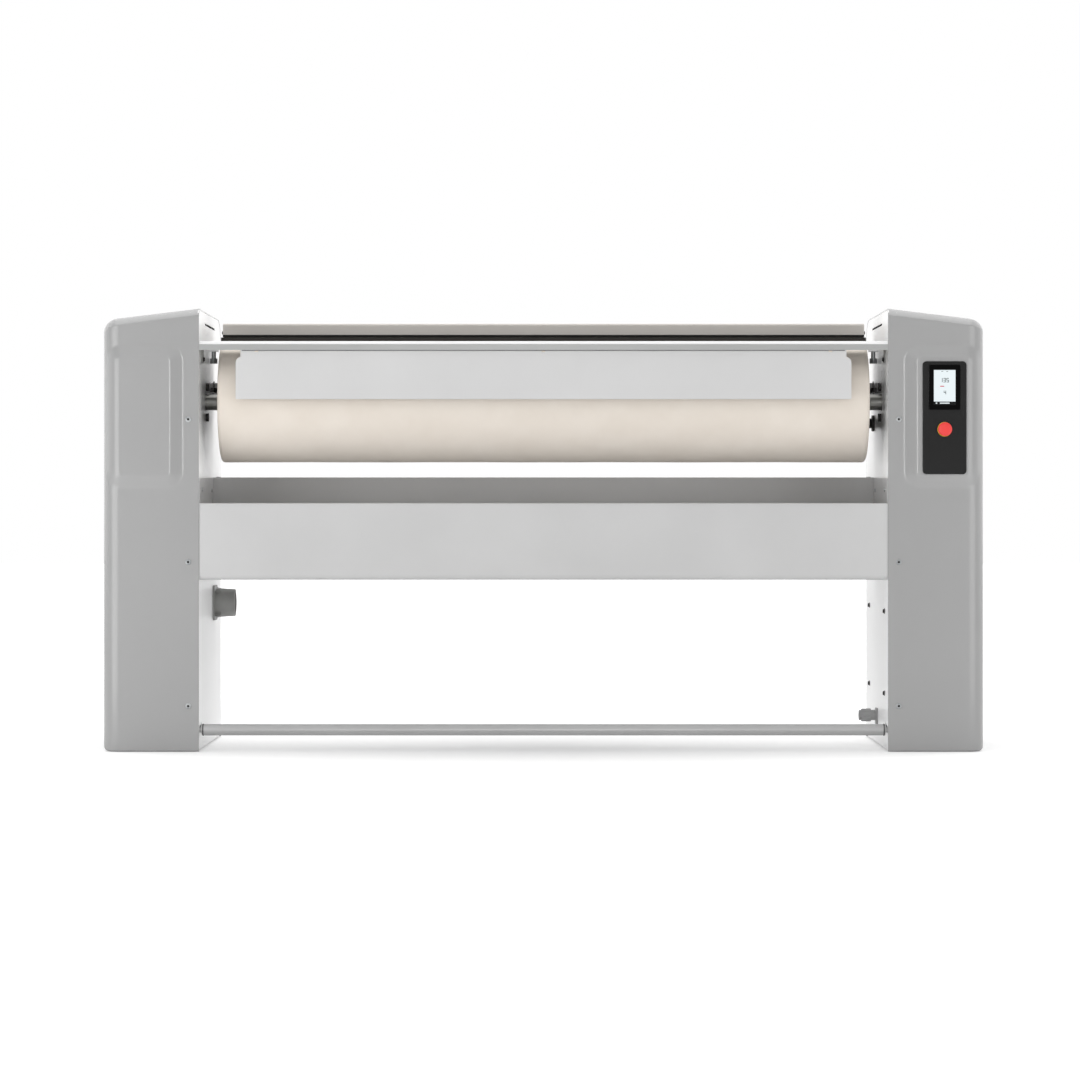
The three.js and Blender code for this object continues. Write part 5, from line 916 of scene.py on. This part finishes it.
@dataclass
class RollerUnit:
    """Felt-padded roller on its hollow journals, with its bearings."""

    radius: float = 150.0
    half: float = 800.0
    axis: Pair = (-106.0, 858.0)
    felt: float = 10.0
    edge: float = 9.0
    inset: float = 0.6  # how far the felt stays inside the drum's end
    lap: float = 0.9  # step where the felt's end laps over
    lap_turn: float = 0.62  # where the lap lies, as a share of a turn
    lap_reach: float = 0.025  # share of a turn over which it runs out
    slack: float = 0.5  # how far the skin stays inside the modelled felt
    long_wave: Pair = (0.2, 61.0)  # height, and length along the roller divided by tau
    short_wave: Pair = (0.12, 23.0)
    bore_step: float = 0.999  # the bore's second ring, as a share of the first
    edge_steps: int = 8
    length_steps: int = 60
    segments: int = 160

    def profile(self) -> list[Pair]:
        """Lays out the felt's section.

        Returns:
            Distance along the roller and radius, from one end's bore to the other's.
        """
        end = -self.half + self.inset
        found = [(-self.half + 1.0, self.radius - self.felt + 0.2)]
        for step in range(self.edge_steps + 1):
            a = math.pi / 2 * step / self.edge_steps
            found.append((end + self.edge * (1 - math.cos(a)),
                          self.radius - self.edge + self.edge * math.sin(a)))
        ends, inner = list(found), found[-1][0]
        found += [(inner - 2 * inner * k / self.length_steps, self.radius)
                  for k in range(1, self.length_steps)]
        return found + [(-along, radius) for along, radius in reversed(ends)]

    def wear_and_highlight(self, along: float, radius: float, angle: float) -> float:
        """Gives the felt its slight waves, under 0.4 mm high, and the step of its lap.

        Args:
            along: Distance along the roller.
            radius: Radius of the section there.
            angle: Angle round the roller.

        Returns:
            The radius of the skin.
        """
        (high, long), (low, short) = self.long_wave, self.short_wave
        waves = high * math.sin(along / long + 2.0 * math.sin(angle * 3)) \
            + low * math.sin(along / short + angle * 5)
        turn = (angle / math.tau + self.lap_turn) % 1.0
        step = self.lap * max(0.0, 1 - turn / self.lap_reach)
        return (radius - self.slack + (waves if radius > self.radius - 4 else 0.0)
                - (step if radius > self.radius - 2 else 0.0))

    def build(self) -> None:
        """Builds the felt with its lapped end, and dresses the roller's metal."""
        y, z = self.axis
        count = self.segments
        rings = []
        for along, radius in self.profile():
            ring = []
            for i in range(count):
                angle = math.tau * i / count
                r = self.wear_and_highlight(along, radius, angle)
                ring.append((along, y + r * math.cos(angle), z + r * math.sin(angle)))
            rings.append(ring)
        rings.append([(p[0], y + (p[1] - y) * self.bore_step, z + (p[2] - z) * self.bore_step)
                      for p in rings[-1]])
        points, faces = loft(rings, caps=OPEN)
        last = (len(rings) - 1) * count
        faces += [(last + i, last + (i + 1) % count, (i + 1) % count, i) for i in range(count)]
        felt = piece("roller_felt", (points, faces), FELT, "roller", angle=60.0)
        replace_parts(felt, "roller_padding")
        dress(["roller_drum"], ZINC)
        dress(["left_roller_end", "right_roller_end"], SHAFT_STEEL)
        dress(["left_bearing", "right_bearing"], DARK_STEEL, edge_mm=0.5)


@dataclass
class FeedTable:
    """Feed table with the hinged finger guard under its front edge."""

    screw_at: Point = (836.7, -217.0, 960.0)
    half: float = 839.7
    face: float = -290.0
    top: float = 1002.0
    sheet: float = 2.0
    lip: float = 22.0
    nose: float = 9.0
    nose_power: float = 1.6  # 1 is a round nose, 2 a straight chamfer
    nose_steps: int = 10
    rear: float = -194.5
    rear_lip: float = 15.0
    cheek: tuple[Pair, ...] = ((-281.0, 1000.5), (-281.0, 983.0), (-277.0, 978.5),
                               (-228.0, 952.5), (-222.0, 951.0), (-203.0, 951.0),
                               (-197.5, 956.0), (-197.5, 1000.5))
    cheek_thick: float = 3.0
    lug_x: tuple[float, ...] = (-700.0, 0.0, 700.0)
    lug_half: float = 2.5
    lug_eye: tuple[int, int, int] = (140, 401, 20)  # degrees from, to and by, round the rod
    lug_root: Pair = (7.5, -3.0)  # where the lug meets the sheet, behind and ahead of the rod
    rod_at: Pair = (-280.0, 987.2)
    rod_wall: float = 6.0
    wear_and_highlight: float = 8.0  # height of the painted highlight strip below the table's top
    # dark strip under the lip's lower edge: painted shadow of the lip on the guard
    shadow_strip: tuple[Pair, ...] = ((-288.0, 978.4), (-286.3, 979.0), (-286.3, 981.0),
                               (-288.0, 981.6))
    shadow_strip_half: float = 735.0

    def offset_line(self, depth: float) -> list[Pair]:
        """Follows the bent sheet at a depth under its outer face.

        Args:
            depth: Distance from the outer face.

        Returns:
            Y and Z from the front lip's lower edge to the rear lip's.
        """
        inner, power = self.nose - depth, self.nose_power
        found = [(self.face + depth, self.top - self.lip)]
        for step in range(self.nose_steps + 1):
            a = math.radians(90.0 * step / self.nose_steps)
            back = inner * (1 - max(math.cos(a), 0.0) ** power)
            down = inner * (1 - math.sin(a) ** power)
            found.append((self.face + depth + back, self.top - depth - down))
        rear = self.rear - depth
        return found + [(rear, self.top - depth), (rear, self.top - self.rear_lip)]

    def table(self) -> None:
        """Builds the folded table with its end plates and the guard's lugs."""
        sheet = self.offset_line(0.0) + self.offset_line(self.sheet)[::-1]
        y, z = self.rod_at
        eye = [(y + self.rod_wall * math.cos(math.radians(a)),
                z + self.rod_wall * math.sin(math.radians(a))) for a in range(*self.lug_eye)]
        lug = eye + [(y + root, self.top - self.sheet) for root in self.lug_root]
        skins = [drawn_out(sheet, -self.half, self.half)]
        for side in Side:
            ends = sorted((side.value * self.half, side.value * (self.half - self.cheek_thick)))
            skins.append(drawn_out(self.cheek, *ends))
        skins += [drawn_out(lug, x - self.lug_half, x + self.lug_half) for x in self.lug_x]
        thing = piece("folded_feed_table", merged(skins), TABLE_COAT)
        # the upper faces of the nose take the pale coat: a painted highlight for the light on the
        # bend
        thing.data.materials.append(NOSE_HIGHLIGHT_COAT.material())
        for face in thing.data.polygons:
            bent = face.center.y < (self.face + self.nose) * MM
            face.material_index = int(bent and face.center.z > (self.top - self.wear_and_highlight) * MM)
        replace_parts(thing, "feed_table")

    def build(self) -> None:
        """Builds the table, a dark strip under its lip as painted shadow, and the end-plate screws,
        and dresses the guard.
        """
        self.table()
        # painted shadow: a dark rubber-coloured strip along the gap under the lip
        piece("painted_shadow_strip", drawn_out(self.shadow_strip, -self.shadow_strip_half, self.shadow_strip_half),
              RUBBER)
        x, y, z = self.screw_at
        for side in Side:
            screws(f"{side.word}_table_screw", HEX_BOLT, [(side.value * x, y, z)],
                   (-side.value, 0, 0), DARK_STEEL)
        dress(["guard_plate"], GUARD_COAT)
        dress(["guard_hinge_rod"], ZINC)


@dataclass
class LinenTray:
    """Folded tray under the roller."""

    end: float = 838.2
    screw: Screw = Screw(5.0, 2.4, socket=1.9)
    screw_places: tuple[Pair, ...] = ((-230.0, 640.0), (30.0, 640.0))

    def build(self) -> None:
        """Adds the end-wall screws and dresses the tray."""
        for side in Side:
            screws(f"{side.word}_tray_screws", self.screw,
                   [(side.value * self.end, y, z) for y, z in self.screw_places],
                   (-side.value, 0, 0), ZINC)
        dress(["linen_tray"], TRAY_COAT)


@dataclass
class ChestUnit:
    """Heated chest with its hood, hangers, arms and torsion shaft."""

    half: float = 808.0
    screw: Screw = Screw(4.0, 2.6, Drive.HEX_HEAD, washer=5.0)
    screw_z: float = 1037.0
    screw_y: Pair = (30.0, 90.0)
    # section of the near-black strip along the hood's edge, painted shade for the gap under it
    gap_shade: tuple[Pair, ...] = ((9.9, 1026.0), (8.0, 1026.6), (7.7, 1028.75), (8.2, 1031.1),
                              (9.9, 1031.5))

    def build(self) -> None:
        """Adds a black strip along the hood's front edge as painted shade for the gap under it, and
        the hood's screws; dresses the nodes.
        """
        piece("hood_gap_shade", drawn_out(self.gap_shade, -self.half, self.half), GAP_SHADE_BLACK, "chest")
        for side in Side:
            screws(f"{side.word}_hood_screws", self.screw,
                   [(side.value * self.half, y, self.screw_z) for y in self.screw_y],
                   (side.value, 0, 0), DARK_STEEL, "chest")
        dress(["heated_chest"], SHOE_STEEL)
        dress(["upper_heating_element", "lower_heating_element", "torsion_shaft"], SHAFT_STEEL)
        dress(["chest_hood"], HOOD_COAT)
        dress(["left_chest_hanger", "right_chest_hanger", "rear_beam"], DARK_STEEL, edge_mm=0.6)
        dress(["left_chest_arm", "right_chest_arm", "left_stop_bolt", "right_stop_bolt"], ZINC,
              edge_mm=0.5)
        dress(["chest_actuator"], ALUMINIUM)
        dress(["actuator_rod"], ZINC)


@dataclass
class DriveUnit:
    """Chain drive and gearmotor in the right cabinet."""

    def build(self) -> None:
        """Dresses the nodes."""
        dress(["driven_sprocket", "drive_sprocket"], SHAFT_STEEL, edge_mm=0.3)
        dress(["drive_chain", "drive_motor"], DARK_STEEL)
        dress(["motor_bracket"], ZINC)
        dress(["gearbox"], ALUMINIUM, edge_mm=0.8)


@dataclass
class VapourExtraction:
    """Fan, duct, ribbed hose and exhaust spigot in the left cabinet."""

    outer: float = 31.8  # mean radius of the hose's outside
    outer_rib: float = 1.1
    inner: float = 30.8  # mean radius of its bore
    inner_rib: float = 0.66
    pitch: float = 9.0
    rings: int = 150
    sides: int = 28
    span_steps: int = 40
    route: tuple[Point, ...] = ((-1014.0, -13.0, 447.7), (-1014.0, -13.0, 435.7),
                                (-1014.0, -13.0, 421.7), (-984.0, 45.0, 362.0),
                                (-911.5, 107.0, 354.0), (-873.5, 117.0, 354.0),
                                (-859.5, 117.0, 354.0), (-845.5, 117.0, 354.0))
    screw: Screw = Screw(4.6, 2.6, socket=1.8)
    spigot_at: Point = (-834.7, 117.0, 354.0)
    screw_off: float = 35.0

    def centreline(self) -> list[Vector]:
        """Draws a smooth curve through the hose's route.

        Returns:
            Points at even distances along it.
        """
        stops = [Vector(p) for p in self.route]
        ends = [stops[0] * 2 - stops[1], *stops, stops[-1] * 2 - stops[-2]]
        fine = []
        for a, b, c, d in zip(ends, ends[1:], ends[2:], ends[3:]):
            for i in range(self.span_steps):
                t = i / self.span_steps
                fine.append(0.5 * ((2 * b) + (c - a) * t + (2 * a - 5 * b + 4 * c - d) * t * t
                                   + (3 * b - a - 3 * c + d) * t ** 3))
        fine.append(stops[-1])
        lengths = [0.0]
        for a, b in zip(fine, fine[1:]):
            lengths.append(lengths[-1] + (b - a).length)
        found, k = [], 0
        for i in range(self.rings):
            want = lengths[-1] * i / (self.rings - 1)
            while k < len(fine) - 2 and lengths[k + 1] < want:
                k += 1
            share = (want - lengths[k]) / (lengths[k + 1] - lengths[k])
            found.append(fine[k].lerp(fine[k + 1], min(1.0, share)))
        return found

    def hose(self) -> None:
        """Builds the ribbed hose along its route."""
        line = self.centreline()
        outer, inner = [], []
        up = Vector((0, 1, 0))
        walked = 0.0
        for i, here in enumerate(line):
            ahead = (line[min(i + 1, len(line) - 1)] - line[max(i - 1, 0)]).normalized()
            across = ahead.cross(up).normalized()
            up = across.cross(ahead).normalized()
            walked += (here - line[i - 1]).length if i else 0.0
            wave = math.cos(math.tau * walked / self.pitch)
            for rings, radius in ((outer, self.outer + self.outer_rib * wave),
                                  (inner, self.inner + self.inner_rib * wave)):
                rings.append([tuple(here + across * p[0] + up * p[1])
                              for p in circle(radius, 0.0, self.sides)])
        skin = loft([*outer, *inner[::-1], outer[0]], caps=OPEN)
        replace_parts(piece("ribbed_exhaust_hose", skin, HOSE_PVC, angle=60.0), "exhaust_hose")

    def build(self) -> None:
        """Builds the hose and the spigot's screws, and dresses the nodes."""
        self.hose()
        x, y, z = self.spigot_at
        offs = (-self.screw_off, self.screw_off)
        screws("spigot_screws", self.screw, [(x, y + u, z + v) for u in offs for v in offs],
               (1, 0, 0), ZINC)
        dress(["fan_housing"], ALUMINIUM)
        dress(["fan_wheel"], ZINC)
        dress(["suction_duct"], TABLE_COAT)
        dress(["exhaust_spigot"], SPIGOT_PLASTIC, edge_mm=0.5)


@dataclass
class PedalBar:
    """Pedal bar across the front with its arms and spring."""

    # rubber rings at the bar's ends; their dark colour is painted shade for the gap at the frame
    gap_shade_ring_at: Point = (830.0, -268.0, 53.0)
    gap_shade_ring: tuple[Pair, ...] = ((14.1, 0.0), (14.6, 0.3), (14.6, 2.7), (14.1, 3.0))

    def build(self) -> None:
        """Adds the dark rubber rings at the bar's ends, partly painted shade for the gap at the
        frame, and dresses the nodes.
        """
        x, y, z = self.gap_shade_ring_at
        for side in Side:
            skin = aimed(turned(self.gap_shade_ring, 40, OPEN), (side.value * x, y, z),
                         (side.value, 0, 0))
            piece(f"{side.word}_pedal_gap_shade_ring", skin, RUBBER, "pedal", angle=40.0)
        dress(["pedal_bar"], PEDAL_PLATE)
        dress(["left_pedal_arm", "right_pedal_arm"], ZINC)
        dress(["pedal_spring"], SHAFT_STEEL)


Box = tuple[float, float, float, float]
STROKES: dict[str, Box] = {  # of a digit one wide and one high: X and Z of both ends
    "a": (0, 1, 1, 1), "b": (1, .5, 1, 1), "c": (1, 0, 1, .5), "d": (0, 0, 1, 0),
    "e": (0, 0, 0, .5), "f": (0, .5, 0, 1), "g": (0, .5, 1, .5)}
DIGITS = {"0": "abcdef", "1": "bc", "2": "abged", "3": "abgcd", "4": "fgbc", "5": "afgcd",
          "6": "afgedc", "7": "abc", "8": "abcdefg", "9": "abfgcd"}


@dataclass
class ControlPanel:
    """Film-covered plate with the display and the emergency stop.

    Boxes on the screen are X from and to its middle line, Z from and to its lower edge.
    """

    x: float = 976.5
    screen_foot: float = 846.0
    screen_face: float = -303.8
    plate_face: float = -302.3
    stop_z: float = 786.5
    stop_ring: tuple[Pair, ...] = ((8.6, 0.3), (17.7, 0.3), (17.7, 2.4), (17.1, 3.0), (8.6, 3.0),
                                   (8.6, 0.3))
    stop_head: tuple[Pair, ...] = ((7.9, -20.0), (7.9, 7.3), (15.6, 7.3), (16.7, 7.8),
                                   (17.0, 8.9), (17.0, 11.2), (16.6, 12.2), (15.4, 12.9),
                                   (12.5, 13.3), (8.0, 13.5), (3.5, 13.6))
    picture: Box = (-26.2, 26.2, 8.0, 84.7)
    status_bar: Box = (-26.2, 26.2, 0.3, 7.7)
    mark: Box = (-10.5, -2.0, 45.0, 45.4)
    ticks: tuple[Box, ...] = ((-8.0, -4.0, 81.0, 81.3), (4.0, 8.0, 81.0, 81.3))
    keys: tuple[Box, ...] = ((-11.0, 11.0, 3.6, 4.6), (-21.0, -19.0, 3.6, 4.6))
    numbers: tuple[tuple[str, float, float, float], ...] = (
        ("135", -0.5, 60.0, 9.0), ("4", 0.5, 30.0, 8.0))  # text, middle X and Z, height
    stroke: float = 1.5
    digit_width: float = 0.52  # as a share of the digit's height, as is the gap
    digit_gap: float = 0.34

    def tile(self, box: Box, grow: float, level: float = 0.02, thick: float = 0.23) -> Skin:
        """Makes a thin tile with round corners that lies on the screen.

        Args:
            box: Its box without the round border.
            grow: Width of the round border.
            level: Distance from the screen's face to its back.
            thick: Its thickness, without the fine step at its front.

        Returns:
            Points and faces.
        """
        x0, x1, z0, z1 = box
        rings = []
        for out, radius in ((level, grow), (level + thick, grow),
                            (level + thick + 0.02, grow - 0.05)):
            ring = []
            for x, z, start in ((x1, z1, 0), (x0, z1, 90), (x0, z0, 180), (x1, z0, 270)):
                for step in range(4):
                    a = math.radians(start + 30 * step)
                    ring.append((self.x + x + radius * math.cos(a), self.screen_face - out,
                                 self.screen_foot + z + radius * math.sin(a)))
            rings.append(ring)
        return loft(rings)

    def number(self, text: str, x: float, z: float, tall: float) -> Skin:
        """Draws a plain number in flat strokes.

        Args:
            text: The digits.
            x: Middle of the number.
            z: Middle height.
            tall: Height of a digit.

        Returns:
            Points and faces.
        """
        wide, step = tall * self.digit_width, tall * (self.digit_width + self.digit_gap)
        left = x - (len(text) * step - tall * self.digit_gap) / 2
        low = z - tall / 2
        cells = []
        for i, digit in enumerate(text):
            for key in DIGITS[digit]:
                u0, v0, u1, v1 = STROKES[key]
                box = (left + i * step + u0 * wide, left + i * step + u1 * wide,
                       low + v0 * tall, low + v1 * tall)
                cells.append(self.tile(box, self.stroke / 2, 0.17, 0.1))
        return merged(cells)

    def build(self) -> None:
        """Builds the screen's picture and the emergency stop, and dresses the nodes."""
        for name, finish, skin in (
                ("screen_picture", SCREEN_LIT, self.tile(self.picture, 0.1, thick=0.1)),
                ("screen_status_bar", SCREEN_DARK, self.tile(self.status_bar, 0.1, thick=0.1)),
                ("screen_numbers", SCREEN_GREY, merged(self.number(*n) for n in self.numbers)),
                ("screen_mark", SCREEN_RED, self.tile(self.mark, 0.9)),
                ("screen_ticks", SCREEN_GREY, merged(self.tile(b, 0.4) for b in self.ticks)),
                ("screen_keys", SCREEN_LIT, merged(self.tile(b, 0.9) for b in self.keys))):
            piece(name, skin, finish)
        dress(["control_plate"], PANEL_FILM, edge_mm=0.5)
        dress(["display_bezel"], BEZEL_BLACK, edge_mm=0.4)
        dress(["display_screen"], SCREEN_DARK)
        at = (self.x, self.plate_face, self.stop_z)
        ring = piece("stop_ring", aimed(turned(self.stop_ring, 48, OPEN), at, (0, -1, 0)),
                     RING_YELLOW)
        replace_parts(ring, "emergency_stop_collar")
        head = piece("stop_mushroom", aimed(turned(self.stop_head, 64), at, (0, -1, 0)),
                     BUTTON_RED, "stop_button", angle=50.0)
        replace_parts(head, "emergency_stop_button")


@dataclass
class Electrics:
    """Electrical box, cable gland and conduit on the right side frame."""

    nut_at: Point = (800.5, 0.0, 74.0)
    rib_circle: float = 15.5
    ribs: int = 18
    rib: tuple[Pair, ...] = ((0.5, 0.0), (0.9, 1.0), (0.9, 21.0), (0.5, 22.0))

    def build(self) -> None:
        """Adds the grip ribs of the gland's nut and dresses the nodes."""
        x, y, z = self.nut_at
        cells = []
        for u, v, _ in circle(self.rib_circle, 0.0, self.ribs):
            cells.append(aimed(turned(self.rib, 8), (x, y + u, z + v), (1, 0, 0)))
        piece("gland_grip_ribs", merged(cells), GLAND_PLASTIC)
        dress(["electrical_box"], ZINC, edge_mm=0.5)
        dress(["cable_gland", "gland_nut"], GLAND_PLASTIC)
        dress(["heater_conduit"], DARK_STEEL)


# ---------------------------------------------------------------- studio
@dataclass(frozen=True)
class Softbox:
    """Soft rectangular lamp, in metres and watts."""

    name: str
    at: Point
    aim: Point
    size: Pair
    power: float

    def hang(self) -> None:
        """Hangs the lamp where the camera doesn't see it."""
        lamp = bpy.data.lights.new(self.name, "AREA")
        lamp.shape = "RECTANGLE"
        lamp.size, lamp.size_y = self.size
        lamp.energy = self.power
        thing = bpy.data.objects.new(self.name, lamp)
        thing.location = self.at
        way = Vector(self.aim) - Vector(self.at)
        thing.rotation_euler = way.to_track_quat("-Z", "Y").to_euler()
        thing.visible_camera = False
        bpy.context.scene.collection.objects.link(thing)


@dataclass
class Studio:
    """Pale floor, soft lights and the camera, in metres."""

    lens: float = 121.37  # mm, on a sensor 36 mm wide
    eye: Point = (0.0, -9.166, 0.5924)
    shift: Pair = (-3.5 / 1080, -31.0 / 1080)
    room: float = 0.25  # radiance of the room in front of the object
    cyclorama: float = 1.3  # radiance of the white cyclorama behind it
    horizon: Pair = (-0.4, 0.3)  # Y of the directions between which one passes to the other
    floor_half: float = 30.0
    floor_grey: float = 0.8
    pool: float = 4.5  # how far the floor's own tone reaches before it fades to white
    near_glow: float = 0.06
    far_glow: float = 1.1
    lamps: tuple[Softbox, ...] = (
        Softbox("Key_softbox", (0.0, -4.5, 4.0), (0.0, 0.0, 0.5), (6.0, 3.0), 45.0),
        Softbox("Top_softbox", (0.0, 0.3, 3.6), (0.0, 0.3, 0.0), (5.0, 3.0), 62.0),
        Softbox("Front_strip", (0.0, -7.0, 0.6), (0.0, 0.0, 0.6), (0.4, 3.0), 60.0),
        Softbox("Left_softbox", (-2.1, -1.8, 0.6), (-1.0, -0.2, 0.6), (1.3, 1.5), 16.0),
        Softbox("Right_softbox", (2.1, -1.8, 0.6), (1.0, -0.2, 0.6), (1.3, 1.5), 10.0))

    def camera(self) -> None:
        """Sets the level camera square to the front."""
        lens = bpy.data.cameras.new("Camera")
        lens.lens = self.lens
        lens.sensor_width = 36.0
        lens.shift_x, lens.shift_y = self.shift
        lens.clip_end = 100.0
        eye = bpy.data.objects.new("Camera", lens)
        eye.location = self.eye
        eye.rotation_euler = (math.radians(90.0), 0.0, 0.0)
        bpy.context.scene.collection.objects.link(eye)
        bpy.context.scene.camera = eye

    def show(self, tree: bpy.types.NodeTree, output: str, lit: Source, seen: Source) -> None:
        """Ends a tree with one shader for the light and another for the camera.

        Args:
            tree: Node tree of the world or of the floor.
            output: Kind of its output node.
            lit: What light and reflections meet.
            seen: What the camera sees.
        """
        path = add(tree, "ShaderNodeLightPath")
        mix = add(tree, "ShaderNodeMixShader",
                  links={"Fac": (path, "Is Camera Ray"), 1: lit, 2: seen})
        add(tree, output, links={"Surface": (mix, "Shader")})

    def world(self) -> None:
        """White cyclorama behind the object and a dimmer room in front; white to the camera."""
        world = bpy.data.worlds.new("Studio")
        bpy.context.scene.world = world
        tree = empty_tree(world)
        ways = add(tree, "ShaderNodeTexCoord")
        parts = add(tree, "ShaderNodeSeparateXYZ", links={"Vector": (ways, "Generated")})
        bright = add(tree, "ShaderNodeMapRange",
                     {"From Min": self.horizon[0], "From Max": self.horizon[1],
                      "To Min": self.room, "To Max": self.cyclorama}, {"Value": (parts, "Y")})
        soft = add(tree, "ShaderNodeBackground", {"Color": linear("#ffffff")},
                   {"Strength": (bright, "Result")})
        white = add(tree, "ShaderNodeBackground", {"Color": linear("#ffffff"), "Strength": 1.0})
        self.show(tree, "ShaderNodeOutputWorld", (soft, "Background"), (white, "Background"))

    def floor(self) -> None:
        """Wide pale floor that keeps a soft shadow and fades to white for the camera."""
        mesh = bpy.data.meshes.new("Studio_floor")
        half, grey = self.floor_half, self.floor_grey
        mesh.from_pydata([(-half, -half, 0), (half, -half, 0), (half, half, 0),
                          (-half, half, 0)], [], [(0, 1, 2, 3)])
        floor = bpy.data.objects.new("Studio_floor", mesh)
        bpy.context.scene.collection.objects.link(floor)
        paint = bpy.data.materials.new("Matt_white_floor")
        tree = empty_tree(paint)
        matt = add(tree, "ShaderNodeBsdfDiffuse", {"Color": (grey, grey, grey, 1.0)})
        place = add(tree, "ShaderNodeTexCoord")
        shrink = add(tree, "ShaderNodeMapping", {"Scale": (1 / self.pool,) * 3},
                     {"Vector": (place, "Object")})
        near = add(tree, "ShaderNodeTexGradient", {"gradient_type": "SPHERICAL"},
                   {"Vector": (shrink, "Vector")})
        fade = add(tree, "ShaderNodeMapRange",
                   {"To Min": self.far_glow, "To Max": self.near_glow}, {"Value": (near, "Fac")})
        glow = add(tree, "ShaderNodeEmission", {"Color": linear("#ffffff")},
                   {"Strength": (fade, "Result")})
        both = add(tree, "ShaderNodeAddShader", links={0: (matt, "BSDF"), 1: (glow, "Emission")})
        self.show(tree, "ShaderNodeOutputMaterial", (matt, "BSDF"), (both, "Shader"))
        mesh.materials.append(paint)

    def build(self) -> None:
        """Sets up the whole studio."""
        self.camera()
        self.world()
        self.floor()
        for lamp in self.lamps:
            lamp.hang()
        bpy.context.scene.view_settings.view_transform = "Standard"


def main() -> None:
    """Builds the ironer's pieces in order and reports them."""
    logging.basicConfig(level=logging.INFO, format="%(name)s: %(message)s")
    for unit in (Cabinet(Side.LEFT), Cabinet(Side.RIGHT), RollerUnit(), FeedTable(),
                 LinenTray(), ChestUnit(), DriveUnit(), VapourExtraction(), PedalBar(),
                 ControlPanel(), Electrics(), Studio()):
        unit.build()
        LOG.info("%s done", type(unit).__name__)


if __name__ == "__main__":
    main()
